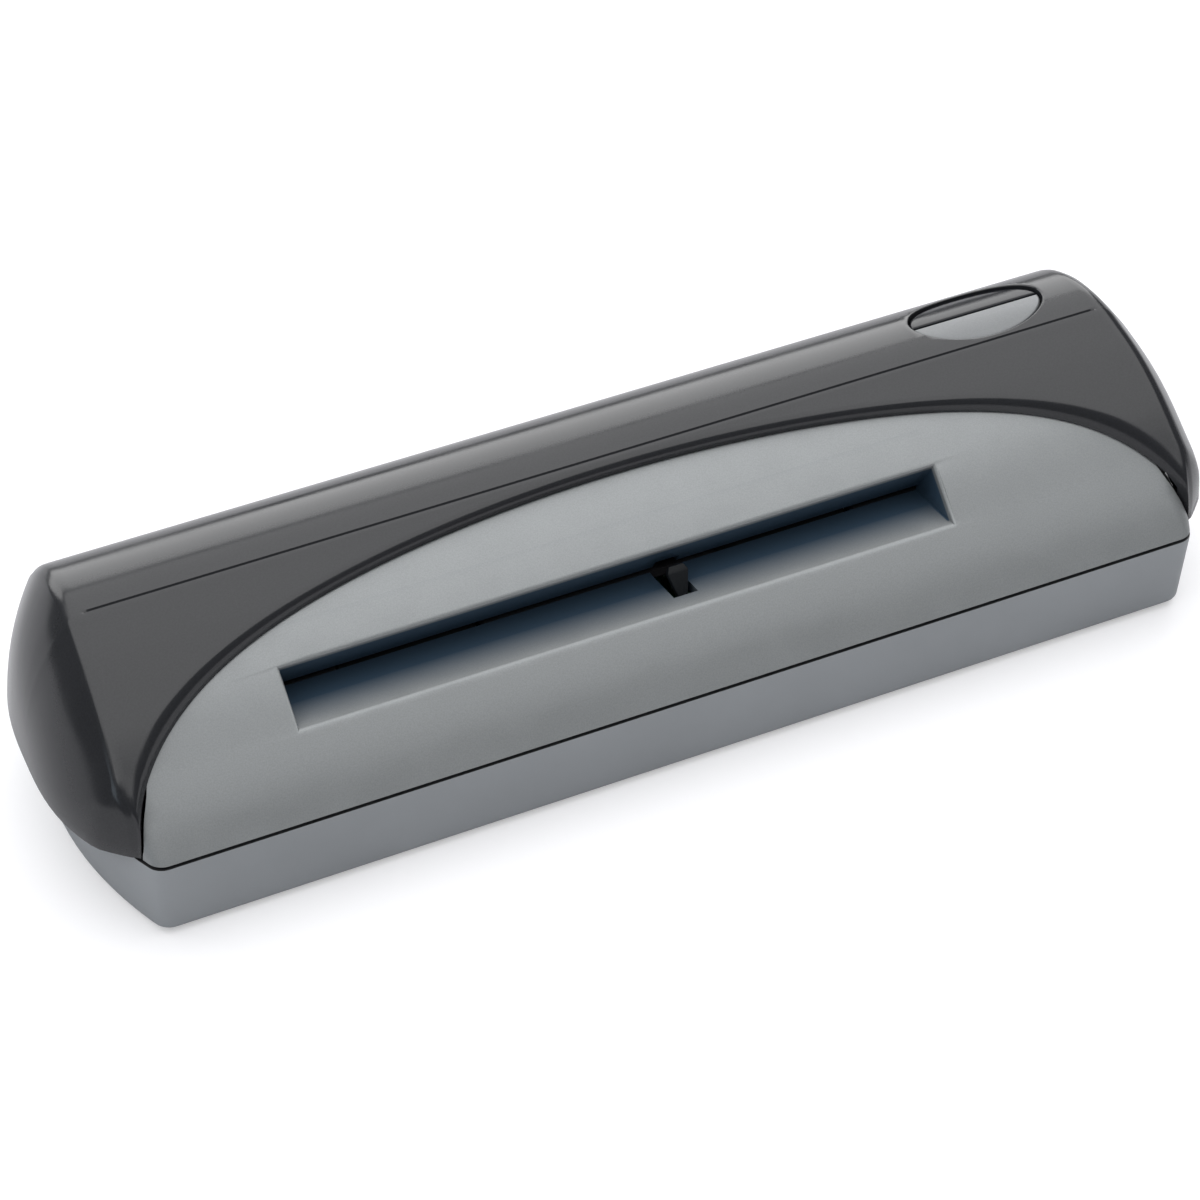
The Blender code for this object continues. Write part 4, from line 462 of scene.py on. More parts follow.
class Surface:
    """A node material in the making."""

    def __init__(self, name, base, roughness, metallic=0.0, coat=0.0, coat_roughness=0.08,
                 specular=0.5):
        self.made = bpy.data.materials.new(name)
        self.made.use_nodes = True
        self.tree = self.made.node_tree
        self.shader = self.tree.nodes["Principled BSDF"]
        self.base = base
        for socket, value in (("Base Color", (*base, 1.0)), ("Roughness", roughness),
                              ("Metallic", metallic), ("Coat Weight", coat),
                              ("Coat Roughness", coat_roughness),
                              ("Specular IOR Level", specular)):
            self.shader.inputs[socket].default_value = value
        self.coordinates = node(self.tree, "TexCoord", {}).outputs["Object"]

    def drive(self, socket, source):
        self.tree.links.new(source, self.shader.inputs[socket])

    def noise(self, scale, detail=2.0, roughness=0.5, stretch=(1.0, 1.0, 1.0)):
        """Noise with features of about 1 / scale metres."""
        mapping = node(self.tree, "Mapping", {"Scale": stretch, "Vector": self.coordinates})
        return node(self.tree, "TexNoise", {
            "Scale": scale, "Detail": detail, "Roughness": roughness,
            "Vector": mapping.outputs["Vector"]}).outputs["Fac"]

    def ranged(self, source, low, high, start=0.3, end=0.7):
        """A factor spread from low to high."""
        return node(self.tree, "MapRange", {
            "From Min": start, "From Max": end, "To Min": low, "To Max": high,
            "Value": source}).outputs["Result"]

    def tinted(self, source, dark, light):
        """The base colour between a darker and a lighter share of itself."""
        ramp = node(self.tree, "ValToRGB", {"Fac": source})
        elements = ramp.color_ramp.elements
        for element, position, factor in zip(elements, (0.3, 0.7), (dark, light)):
            element.position = position
            element.color = (*[min(c * factor, 1.0) for c in self.base], 1.0)
        self.drive("Base Color", ramp.outputs["Color"])

    def rough(self, source, low, high):
        self.drive("Roughness", self.ranged(source, low, high))

    def maths(self, operation, *values):
        """The result of a sum on sockets and plain numbers."""
        made = node(self.tree, "Math", dict(enumerate(values)), operation=operation)
        return made.outputs["Value"]

    def place(self):
        """The three coordinates of a place."""
        parts = node(self.tree, "SeparateXYZ", {"Vector": self.coordinates})
        return [parts.outputs[axis] for axis in "XYZ"]

    def slot_shade_share(self, case, slot):
        """How deep a place lies in the card slot, as the share of painted shade it takes: 0 on the
        silver face, 1 near the throat.
        """
        section = slot_section(case, slot)
        (lip_y, lip_z), (mouth_y, mouth_z) = section[0], section[5]
        x, y, z = self.place()
        slope = (mouth_z - lip_z) / (mouth_y - lip_y)
        face = self.maths("MULTIPLY_ADD", y, slope, lip_z - slope * lip_y)
        below = self.maths("SUBTRACT", face, z)
        # Painted shade: it deepens slowly down the floor, and quickly on the roof and the side
        # walls.
        slow = self.ranged(below, 0.0, 1.0, 1.0 * MM, 8.0 * MM)
        fast = self.ranged(below, 0.0, 1.0, 1.25 * MM, 1.7 * MM)
        middle = (lip_y + section[2][0]) / 2
        inside = self.maths("COMPARE", y, middle, middle - lip_y + 0.3 * MM)
        between = self.maths("COMPARE", x, slot.centre, slot.width / 2 + 0.1 * MM)
        on_floor = self.maths("MULTIPLY", self.maths("LESS_THAN", y, mouth_y),
                              self.maths("COMPARE", x, slot.centre, slot.width / 2 - 0.3 * MM))
        walls = self.maths("MULTIPLY", fast, self.maths("SUBTRACT", 1.0, on_floor))
        depth = self.maths("MAXIMUM", slow, walls)
        return self.maths("MULTIPLY", depth, self.maths("MULTIPLY", between, inside))

    def above(self, height):
        """1 above the height, 0 below it."""
        return self.ranged(self.place()[2], 0.0, 1.0, height - 0.04 * MM, height)

    def fades_to(self, colour, share):
        """Blends the base colour into another one where the share grows."""
        present = self.shader.inputs["Base Color"].links[0].from_socket
        mixed = node(self.tree, "Mix", {}, data_type="RGBA")
        self.tree.links.new(share, mixed.inputs["Factor"])
        self.tree.links.new(present, mixed.inputs["A"])
        mixed.inputs["B"].default_value = (*colour, 1.0)
        self.drive("Base Color", mixed.outputs["Result"])

    def bump(self, source, depth):
        self.drive("Normal", node(self.tree, "Bump", {"Distance": depth, "Strength": 1.0,
                                                      "Height": source}).outputs["Normal"])


def moulded(name, base, roughness, grain=2600.0, depth=0.02 * MM, variation=0.06, coat=0.0,
            specular=0.5):
    """Moulded plastic: a fine even grain, with slow changes in colour and gloss."""
    surface = Surface(name, base, roughness, coat=coat, specular=specular)
    surface.tinted(surface.noise(45.0, 3.0), 1.0 - variation, 1.0 + variation)
    surface.rough(surface.noise(160.0, 3.0), roughness - 0.04, roughness + 0.04)
    surface.bump(surface.noise(grain, 2.0, 0.6), depth)
    return surface


def painted(name, base, roughness, metallic):
    """Silver paint: small flakes that vary in brightness, under a thin satin film."""
    surface = Surface(name, base, roughness, metallic, coat=0.1, coat_roughness=0.3)
    surface.tinted(surface.noise(5200.0, 1.0, 0.4), 0.94, 1.06)
    surface.rough(surface.noise(220.0, 3.0), roughness - 0.04, roughness + 0.05)
    surface.bump(surface.noise(1500.0, 2.0, 0.5), 0.012 * MM)
    return surface


def glossy(name, base, roughness, specular):
    """Polished plastic: a deep even colour, faint flow waves and a few finer smears."""
    surface = Surface(name, base, roughness, specular=specular)
    surface.tinted(surface.noise(3800.0, 1.0, 0.4), 0.92, 1.10)
    surface.rough(surface.noise(90.0, 4.0, 0.6, (0.4, 1.6, 1.0)), roughness - 0.03,
                  roughness + 0.05)
    surface.bump(surface.noise(26.0, 1.0, 0.4), 0.03 * MM)
    return surface


def metal(name, base, roughness, stretch=(1.0, 1.0, 1.0), scale=900.0):
    """Metal with fine tool marks along one direction."""
    surface = Surface(name, base, roughness, 1.0)
    marks = surface.noise(scale, 3.0, 0.6, stretch)
    surface.tinted(surface.noise(70.0, 3.0), 0.88, 1.08)
    surface.rough(marks, roughness - 0.06, roughness + 0.10)
    surface.bump(marks, 0.01 * MM)
    return surface


def give_finish(mesh, surface):
    mesh.materials.clear()
    mesh.materials.append(surface.made)


def dress(surface, *nodes):
    """Gives CAD nodes a finish."""
    for name in nodes:
        give_finish(frame["nodes"][name].data, surface)


def finish_piece(obj, surface, body, nodes, angle=32.0):
    """Gives a piece its finish and its body, and lets it stand for its CAD nodes."""
    obj.data.name = obj.name
    give_finish(obj.data, surface)
    obj.data.shade_smooth()
    obj.data.set_sharp_from_angle(angle=math.radians(angle))
    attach(obj, body)
    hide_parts(*nodes)


# Shapes of the case

def end_x(case, y):
    """Half length of the case at the place y: its ends bow outwards."""
    middle = (front_of(case) + rear_of(case)) / 2
    across = (y - middle) / (middle - front_of(case))
    return case.half_length + case.end_bow * (1 - across * across)


def bowed_outline(case, rows, inset, front_round, rear_round, steps=8):
    """A plan outline with a place on each bowed end for every row, and rounded corners."""
    right = [(end_x(case, y) - inset, y) for y in rows]
    corners = right + [(-x, y) for x, y in reversed(right)]
    radii = [0.0] * len(corners)
    radii[0] = radii[-1] = front_round
    radii[len(right) - 1] = radii[len(right)] = rear_round
    return rounded_outline(corners, radii, steps)


def plan_outline(case, inset, steps=8):
    """Plan outline of base or panel, moved inwards by inset."""
    count, clear = 16, 1.3
    low, high = front_of(case) + inset, rear_of(case) - inset
    start, stop = low + case.front_corner * clear, high - case.rear_corner * clear
    rows = [low, *[start + (stop - start) * i / count for i in range(count + 1)], high]
    return bowed_outline(case, rows, inset, case.front_corner, case.rear_corner, steps)


def cover_front_y(case, x):
    """Front edge of the cover in plan: an arch between two straight tips."""
    across = min(abs(x) / case.arch_half_width, 1.0)
    return front_of(case) + max(case.arch_depth * math.sqrt(1 - across * across),
                                case.tip_setback)


def panel_rear_y(case, x):
    """Rear edge of the panel in plan, tucked under the cover between its tips."""
    beside = case.arch_half_width - case.tuck_narrowing - abs(x)
    return cover_front_y(case, x) + min(max(beside, -SMALL_GAP), case.tuck)


def rim_x(case, y, z):
    """Half length of the hood's rim at a place of its section."""
    across = (y - front_of(case)) / case.depth
    lean = case.rim_lean * (z - case.parting_height) / rise_of(case)
    straight = case.rim_front + (case.rim_rear - case.rim_front) * across
    return min(straight, end_x(case, y)) - lean


def rim_round(case, y):
    """Rounding of the rim at the place y: it sharpens towards the tips of the front legs."""
    at_tip, growth = 0.12, 0.2
    behind = y - front_of(case) - case.tip_setback
    return case.rim_round * min(1.0, at_tip + growth * behind / MM)


def cover_section(case, line, front_y, crease, reach):
    """Closed (y, z) section of the cover's outer form, from its front foot over the top."""
    low, chamfer, support = case.parting_height, 0.1 * MM, 0.4 * MM
    foot, edge = Vector((front_y, low)), Vector((front_y, height_on(line, front_y)))
    beyond = Vector((front_y + reach, height_on(line, front_y + reach)))
    half = (foot - edge).angle(beyond - edge) / 2
    arc = fillet(foot, edge, beyond, (beyond - edge).length * math.tan(half), 8)
    wall_top = arc[0][1]
    rows = [(front_y + chamfer, low), (front_y, low + chamfer),
            (front_y, wall_top - min(support, (wall_top - low) / 3)), *arc]
    start, stop = arc[-1][0], case.crease_place - case.crease_width / 2
    count = 34
    for i in range(1, count + 1):
        y = start + (stop - start) * i / count
        rows.append((y, height_on(line, y)))
    for across, down in ((0.25, 0.5), (0.5, 1.0), (0.75, 0.5), (1.0, 0.0)):
        y = stop + case.crease_width * across
        rows.append((y, height_on(line, y) - case.crease_depth * down * crease))
    rows += [point for point in line[:-1] if point[0] > rows[-1][0] + 0.1 * MM]
    rear_y = line[-1][0]
    return rows + [(rear_y, low + chamfer), (rear_y - chamfer, low)]


def dome_bulge(case, scale):
    """How far a domed end stands out where its section has shrunk to scale."""
    return case.dome_bulge * (1 - scale ** 2.8)


def domed_loop(case, section, middle, scale, beyond, rounded=0.0):
    """The section shrunk towards the middle of its foot, and moved beyond the rim."""
    low, loop = case.parting_height, []
    for y, z in section:
        new_y, height = middle + (y - middle) * scale, max(z - low, 0.0) * scale
        place = rim_x(case, new_y, low + height) - rounded * rim_round(case, new_y) + beyond
        loop.append((place, new_y, low + height + min(z - low, 0.0)))
    return loop


def mirrored(loops):
    return [[(-x, y, z) for x, y, z in loop] for loop in reversed(loops)]


def cover_loops(case):
    """Loops of the cover's outer form, from one end face over the arch to the other."""
    line = case_line(case, case.cover_stand)
    count, tries, crease_fade = 64, 12, 60.0
    halves = []
    for i in range(count + 1):
        along = math.sin(math.pi / 2 * i / count)
        front_y = front_of(case) + case.tip_setback
        for _ in range(tries):
            height = height_on(line, front_y)
            reach = rim_x(case, front_y, height) - rim_round(case, front_y)
            front_y = cover_front_y(case, along * reach)
        rounding = case.arch_round + (case.tip_round - case.arch_round) * along ** 6
        crease = min(1.0, (1.0 - along) * crease_fade)
        section = cover_section(case, line, front_y, crease, rounding)
        halves.append([(along * (rim_x(case, y, z) - rim_round(case, y)), y, z)
                       for y, z in section])
    last = [(y, z) for _, y, z in halves[-1]]
    middle = (last[1][0] + last[-2][0]) / 2
    for rounded, beyond, scale in ((0.6, 0.0, 0.999), (0.28, 0.0, 0.995), (0.07, 0.0, 0.989),
                                   (0.0, 0.12 * MM, 0.982)):
        halves.append(domed_loop(case, last, middle, scale, beyond, rounded))
    for scale in (0.972, 0.95, 0.92, 0.88, 0.84, 0.79, 0.74, 0.68, 0.62, 0.55, 0.48, 0.40, 0.32,
                  0.24, 0.16, 0.08):
        halves.append(domed_loop(case, last, middle, scale, dome_bulge(case, scale)))
    return mirrored(halves[1:]) + halves


def screw_places(case):
    """Places of the case screws in plan, by corner."""
    front, rear = front_of(case) + SCREW_INSETS[0], case.depth / 2 - SCREW_INSETS[1]
    near, far = SCREW_REACHES
    return dict(zip(CORNERS, ((-near, front), (near, front), (-far, rear), (far, rear))))


# Pieces

def outline_loft(case, rings, steps=8):
    """A form with the case's plan outline at each (height, inset)."""
    return loft([[(x, y, z) for x, y in plan_outline(case, inset, steps=steps)]
                 for z, inset in rings])


def base_form(case):
    """The base's shell, with the heights of its floor and its top."""
    low, top = case.foot_stand, case.parting_height - case.parting_groove
    draft, chamfer, support = case.base_draft, 0.12 * MM, 0.5 * MM
    rings = [(low + rise, draft + inset) for inset, rise in quarter(case.base_round, 8)]
    rings += [(low + case.base_round + support, draft * 0.96),
              (top - chamfer - 0.6 * MM, draft * 0.06), (top - chamfer, draft * 0.03),
              (top - chamfer / 3, chamfer / 3), (top, chamfer)]
    form, floor = Form("base_shell", outline_loft(case, rings)), low + case.wall
    form.cut(outline_loft(case, [(floor, draft + case.wall), (top + PAST, case.wall)], 4))
    return form, floor, top


def add_base_lip(case, form, top):
    """The lip behind the parting line, which stops short of the front panel."""
    inset, wall, root, rise, front_gap = 0.8 * MM, 1.4 * MM, 1.5 * MM, 2.2 * MM, 18.0 * MM
    lip = Form("base_lip", outline_loft(case, [(top - root, inset), (top + rise, inset)], 4))
    lip.cut(outline_loft(case, [(top - PAST, inset + wall), (top + PAST, inset + wall)], 4))
    lip.cut(block((-WIDE, -WIDE, 0.0), (WIDE, front_of(case) + front_gap, WIDE)))
    form.join(lip.obj)


def add_base_stands(slot, form, floor):
    """The four low stands under the main board."""
    across, radius, rise = 47.5 * MM, 2.5 * MM, 2.4 * MM
    for x in (slot.centre - across, slot.centre + across):
        for y in (-13.7 * MM, 19.3 * MM):
            form.join(rod((x, y), radius, floor - SMALL_GAP, floor + rise, sides=20))


class SCANNER_OT_base(bpy.types.Operator):
    """Makes the grey base with its rim, bosses and recesses"""

    bl_idname = "scanner.base"
    bl_label = "Base"

    def execute(self, context):
        case, slot = context.scene.scanner_case, context.scene.scanner_slot
        form, floor, top = base_form(case)
        add_base_lip(case, form, top)
        places = screw_places(case)
        for name in CORNERS:
            form.join(rod(places[name], BOSS_RADIUS, floor - SMALL_GAP, BOSS_TOP))
        add_base_stands(slot, form, floor)
        for name in CORNERS:
            form.cut(rod(places[name], HEAD_ROOM, -PAST, HEAD_ROOM_TOP))
            form.cut(rod(places[name], THREAD_RADIUS, HEAD_ROOM_TOP - SMALL_GAP,
                         BOSS_TOP + PAST, sides=20))
        for name in CORNERS:
            low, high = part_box("foot_" + name)
            form.cut(rod((low + high) / 2, FOOT_POCKET, -PAST,
                         case.foot_stand + FOOT_POCKET_DEPTH, sides=40))
        low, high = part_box("usb_socket")
        form.cut(block((low.x - SMALL_GAP, high.y - SOCKET_ROOM, low.z - SMALL_GAP),
                       (high.x + SMALL_GAP, high.y + PAST, high.z + SMALL_GAP)))
        colours = context.scene.scanner_finishes
        surface = moulded("base_grey", colours.base, 0.42, 2200.0, 0.018 * MM, 0.05)
        # The base's top, down in the parting groove, is painted with shade.
        surface.fades_to(colours.gap, surface.above(top - 0.02 * MM))
        finish_piece(form.obj, surface, "case", ["base"])
        return {"FINISHED"}


def slot_section(case, slot, margin=0.0, rear=0.0):
    """(y, z) outline of the slot's funnel, grown by margin and run on by rear."""
    line = case_line(case, 0.0)
    lip_y = front_of(case) + slot.lip_setback
    mouth_y = lip_y + slot.mouth_depth
    throat_y = mouth_y + slot.funnel_run
    lip, mouth = [Vector((y, height_on(line, y))) for y in (lip_y, mouth_y)]
    low = lip.y - slot.floor_drop
    high, end = low + slot.throat, throat_y + slot.throat_run + rear
    return [(lip.x - margin, lip.y - margin), (throat_y - margin / 2, low - margin),
            (end, low - margin), (end, high + margin), (throat_y + margin / 2, high + margin),
            (mouth.x + margin, mouth.y + margin / 2)]


def slot_void(case, slot):
    """The room of the slot, from outside the panel over its rounded edges to the throat."""
    section = [Vector(point) for point in slot_section(case, slot, rear=PAST)]
    lip, mouth = section[0], section[5]
    floor, roof = (section[1] - lip).normalized(), (section[4] - mouth).normalized()
    slope = (mouth - lip).normalized()
    out = Vector((-slope.y, slope.x)) * PAST
    half, size = slot.width / 2, slot.edge_round
    rings = [(lip - slope * size + out, mouth + slope * size + out, half + size)]
    for depth, grown in reversed(quarter(size)):
        rings.append((lip + floor * depth - slope * grown, mouth + roof * depth + slope * grown,
                      half + grown))
    rings += [(section[1], section[4], half), (section[2], section[3], half)]
    return loft([[(slot.centre - reach, *low), (slot.centre + reach, *low),
                  (slot.centre + reach, *high), (slot.centre - reach, *high)]
                 for low, high, reach in rings])


def panel_inset(case, z):
    """How far the panel's ends lean in at the height z."""
    return case.panel_lean / (rise_of(case) * 1.1) * max(z - case.parting_height, 0.0)


def panel_loops(case):
    """Level outlines of the panel's outer form, from the parting line up to the arch."""
    low, front_y, rear_y, top_y = case.parting_height, front_of(case), 6.5 * MM, 4.0 * MM
    chamfer, count, left_out, places_across = 0.12 * MM, 20, 5, 9
    levels = [(front_y + chamfer, low, chamfer),
              (front_y + chamfer / 3, low + chamfer / 3, chamfer / 3)]
    levels += [(y, z, 0.0) for y, z in case_line(case, 0.0) if y < top_y and z > low + 0.5 * MM]
    loops = []
    for front, z, shrunk in levels:
        inset = panel_inset(case, z) + shrunk
        radius = min(case.front_corner + 0.6 * (front - front_y), 0.18 * (rear_y - front))
        rows = [front + (rear_y - front) * i / count for i in (0, *range(left_out, count + 1))]
        outline = bowed_outline(case, rows, inset, radius, 0.0)
        outline += [((-74.0 + 18.5 * i) * MM, front) for i in range(places_across)]
        loops.append([(x, y, z) for x, y in outline])
    return loops


def panel_form(case, slot):
    """The panel's shell, with the walls of the slot's funnel."""
    low, rear_y = case.parting_height, rear_of(case)
    form = Form("front_panel_shell", loft(panel_loops(case)))
    inner = [point for point in case_line(case, -case.wall, 4) if point[1] > low]
    (y0, z0), (y1, z1) = inner[0], inner[1]
    foot = y0 - (z0 - low + PAST) * (y1 - y0) / (z1 - z0)
    hollow = Form("panel_hollow", prism_x(
        [(foot, low - PAST), *inner, (inner[-1][0], low - PAST)], -WIDE, WIDE))
    hollow.keep(outline_loft(case, [(z, case.wall + panel_inset(case, z)) for z in (
        low - PAST, low, case.top_height + PAST)], 4))
    form.cut(hollow.obj)
    middle, wall = slot.centre, slot.funnel_wall
    reach = slot.width / 2 + wall
    funnel = Form("panel_funnel", prism_x(slot_section(case, slot, wall), middle - reach,
                                          middle + reach))
    funnel.keep(prism_x([(front_of(case), low - PAST), *case_line(case, -0.1 * MM)[1:-1],
                         (rear_y, low - PAST)], -WIDE, WIDE))
    form.join(funnel.obj)
    return form


def add_panel_details(case, slot, form):
    """The lever's two cheeks, the front posts, the slot and the lever's room."""
    low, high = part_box("card_sensor_lever")
    x = (low.x + high.x) / 2
    section = slot_section(case, slot)
    throat_low, throat_high = section[2][1], section[3][1]
    pivot = (-16.2 * MM, throat_low - slot.funnel_wall - 1.8 * MM)
    room, cheek, around, bore = 2.0 * MM, 1.3 * MM, 1.5 * MM, 1.2 * MM
    for side in (-1, 1):
        inside = x + side * room
        outside = inside + side * cheek
        form.join(block((min(inside, outside), pivot[0] - around, pivot[1] - around),
                        (max(inside, outside), pivot[0] + around, throat_low)))
    skin = [point for point in case_line(case, -case.wall / 2, 4)
            if point[1] > case.parting_height]
    for name in CORNERS[:2]:
        place = screw_places(case)[name]
        post = Form("panel_post", rod(place, PANEL_POST, POST_LOW, case.top_height))
        post.keep(prism_x([(skin[0][0], 0.0), *skin, (skin[-1][0], 0.0)], -WIDE, WIDE))
        form.join(post.obj)
        form.cut(rod(place, THREAD_RADIUS, 0.0, THREAD_TOP, sides=20))
    form.cut(slot_void(case, slot))
    front = pivot[0] + (throat_low - pivot[1]) * math.tan(LEVER_REST) - 1.3 * MM
    form.cut(block((x - room, front, throat_low - 3.0 * MM),
                   (x + room, section[2][0] + PAST, throat_high + 1.8 * MM)))
    form.cut(rod(pivot, bore, x - PAST, x + PAST, axis="x", sides=24))


class SCANNER_OT_panel(bpy.types.Operator):
    """Makes the silver front panel with the card slot"""

    bl_idname = "scanner.panel"
    bl_label = "Front panel"

    def execute(self, context):
        case, slot = context.scene.scanner_case, context.scene.scanner_slot
        form = panel_form(case, slot)
        add_panel_details(case, slot, form)
        count = 120
        reach = [(-case.arch_half_width * math.cos(math.pi * i / count)) for i in range(count + 1)]
        edge = [(x, panel_rear_y(case, x)) for x in reach]
        form.keep(prism_z([(-WIDE, -WIDE), (WIDE, -WIDE), (WIDE, edge[-1][1]), *reversed(edge),
                           (-WIDE, edge[0][1])], 0.0, WIDE))
        colours = context.scene.scanner_finishes
        sheen = 0.35
        surface = painted("panel_silver_paint", colours.panel, 0.40, sheen)
        # The silver paint fades into painted shade deep in the slot, and loses its metallic share
        # there.
        depth = surface.slot_shade_share(case, slot)
        surface.fades_to(colours.slot, depth)
        surface.drive("Metallic", surface.maths("MULTIPLY_ADD", depth, -sheen, sheen))
        finish_piece(form.obj, surface, "case", ["front_panel"])
        return {"FINISHED"}


def cover_hollow(case):
    """The hollow inside the cover: a section between two domed ends."""
    low, wall = case.parting_height, case.cover_wall
    line = case_line(case, SMALL_GAP, 4)
    front = front_of(case) + case.tip_setback + wall
    rows = [(front, low - PAST), (front, height_on(line, front))]
    rows += [point for point in line if point[0] > front + 0.1 * MM and point[1] > low]
    rows.append((rows[-1][0], low - PAST))
    middle = (rows[0][0] + rows[-1][0]) / 2
    right = [domed_loop(case, rows, middle, 1.0, -wall - case.rim_round)]
    right += [domed_loop(case, rows, middle, scale, dome_bulge(case, scale) - wall)
              for scale in (0.98, 0.92, 0.82, 0.68, 0.46, 0.16)]
    return loft(mirrored(right) + right)


def cover_inside(case):
    """The hollow, kept clear of the flange that closes each overhanging end."""
    low, high = case.parting_height - 3 * PAST, case.parting_height + case.cover_wall
    flange = Form("end_flange", block((-WIDE, -WIDE, low), (WIDE, WIDE, high)))
    flange.cut(prism_z(plan_outline(case, 0.35 * MM, steps=4), low - PAST, high + PAST))
    hollow = Form("cover_hollow", cover_hollow(case))
    hollow.cut(flange.obj)
    return hollow.obj


def add_cover_posts(case, oval, form):
    """The rear screw posts and the posts of the button's board, kept under the hood's skin."""
    low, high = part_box("button_board")
    across = oval.half_depth + 2.6 * MM
    beside = [(oval.x + x, oval.y + y) for x in (-10.5 * MM, 6.5 * MM) for y in (-across, across)]
    rear = [screw_places(case)[name] for name in CORNERS[2:]]
    line = case_line(case, case.cover_stand - 1.6 * MM, 4)
    limit = [(front_of(case), 0.0), *line[1:-1], (line[-2][0], 0.0)]
    for part in [*[rod(place, COVER_POST, POST_LOW, case.top_height) for place in rear],
                 *[rod(place, BOARD_POST, high.z + SMALL_GAP, case.top_height, sides=20)
                   for place in beside]]:
        post = Form("cover_post", part)
        post.keep(prism_x(limit, -WIDE, WIDE))
        form.join(post.obj)
    for place in beside:
        form.join(rod(place, BOARD_PIN, low.z, high.z + BOARD_PIN_RISE, sides=20))
    for place in rear:
        form.cut(rod(place, THREAD_RADIUS, 0.0, THREAD_TOP, sides=20))


def oval_points(oval, grown, sides=72):
    return [(oval.x + (oval.half_length + grown) * math.cos(math.tau * i / sides),
             oval.y + (oval.half_depth + grown) * math.sin(math.tau * i / sides))
            for i in range(sides)]


def oval_cutter(case, oval):
    """An upright oval form that flares a little where it leaves the cover's face."""
    line, low = case_line(case, case.cover_stand), 31.5 * MM
    loops = [[(x, y, low) for x, y in oval_points(oval, SMALL_GAP)]]
    for depth, grown in ((-0.35, 0.0), (-0.17, 0.04), (-0.05, 0.15), (0.03, 0.35)):
        loops.append([(x, y, height_on(line, y) + depth * MM)
                      for x, y in oval_points(oval, SMALL_GAP + grown * MM)])
    loops.append([(x, y, case.top_height + PAST)
                  for x, y in oval_points(oval, SMALL_GAP + 0.35 * MM)])
    return loft(loops)


class SCANNER_OT_cover(bpy.types.Operator):
    """Makes the glossy cover with its arch, crease, oval and rear exit"""

    bl_idname = "scanner.cover"
    bl_label = "Cover"

    def execute(self, context):
        scene = context.scene
        case, slot, oval = scene.scanner_case, scene.scanner_slot, scene.scanner_oval
        form = Form("cover_shell", loft(cover_loops(case)))
        form.cut(cover_inside(case))
        add_cover_posts(case, oval, form)
        form.cut(oval_cutter(case, oval))
        section, skirt = slot_section(case, slot), 3.4 * MM
        exit_low = (section[2][1] + section[3][1]) / 2 - slot.exit_height / 2
        half = slot.exit_width / 2
        form.cut(block((slot.centre - half, rear_of(case) - skirt, exit_low),
                       (slot.centre + half, rear_of(case) + PAST, exit_low + slot.exit_height)))
        surface = glossy("cover_gloss", scene.scanner_finishes.cover, 0.16, 0.5)
        finish_piece(form.obj, surface, "case", ["top_cover"], 28.0)
        return {"FINISHED"}


def half_outline(oval, part, grown, arc=36, straight=10):
    """Plan outline of half of the oval, moved outwards by grown."""
    reach_x, reach_y = oval.half_length + grown, oval.half_depth + grown
    split = SMALL_GAP / 2 - grown
    start = math.asin(split / reach_y)
    points = []
    for i in range(arc + 1):
        angle = start + (math.pi - 2 * start) * i / arc
        points.append((oval.x + reach_x * math.cos(angle),
                       oval.y + part * reach_y * math.sin(angle)))
    end = reach_x * math.cos(start)
    points += [(oval.x - end + 2 * end * i / straight, oval.y + part * split)
               for i in range(1, straight)]
    return points


def oval_half(case, oval, part, name):
    """Half of the oval: a softly edged plate, with a flange under the cover."""
    line = case_line(case, case.cover_stand - oval.sink)
    under = case_line(case, case.cover_stand - oval.sink - oval.plate - oval.flange)
    edge = 0.4 * MM
    levels = [(under, 0.0, 0.0), (line, 2 * edge, 0.0)]
    levels += [(line, down, -inwards) for down, inwards in quarter(edge)]
    levels += [(line, 0.0, -edge - inwards * MM) for inwards in (0.3, 1.0, 1.8)]
    plate = Form(name, loft([
        [(x, y, height_on(heights, y) - down) for x, y in half_outline(oval, part, grown)]
        for heights, down, grown in levels]))
    top, low = case_line(case, -0.02 * MM, 4), case_line(case, -oval.flange, 4)
    plate.join(loft([
        [(x, y, height_on(heights, y)) for x, y in half_outline(oval, part, oval.flange)]
        for heights in (low, top)]))
    return plate


class SCANNER_OT_button(bpy.types.Operator):
    """Makes the silver scan button, the front half of the oval"""

    bl_idname = "scanner.button"
    bl_label = "Scan button"

    def execute(self, context):
        scene = context.scene
        case, oval = scene.scanner_case, scene.scanner_oval
        low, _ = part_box("scan_button")
        plunger_low, plunger_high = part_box("switch_plunger")
        stem, radius, rise = (plunger_low + plunger_high) / 2, 1.6 * MM, 3.4 * MM
        form = oval_half(case, oval, -1, "scan_button_cap")
        form.join(rod(stem, radius, low.z, low.z + rise, sides=24))
        surface = painted("button_silver_paint", scene.scanner_finishes.button, 0.34, 0.4)
        finish_piece(form.obj, surface, "button", ["scan_button"])
        return {"FINISHED"}


class SCANNER_OT_window(bpy.types.Operator):
    """Makes the smoked status window, the rear half of the oval"""

    bl_idname = "scanner.window"
    bl_label = "Status window"

    def execute(self, context):
        scene = context.scene
        form = oval_half(scene.scanner_case, scene.scanner_oval, 1, "status_window_lens")
        surface = glossy("window_smoke", scene.scanner_finishes.window, 0.14, 0.25)
        finish_piece(form.obj, surface, "case", ["status_window"])
        return {"FINISHED"}


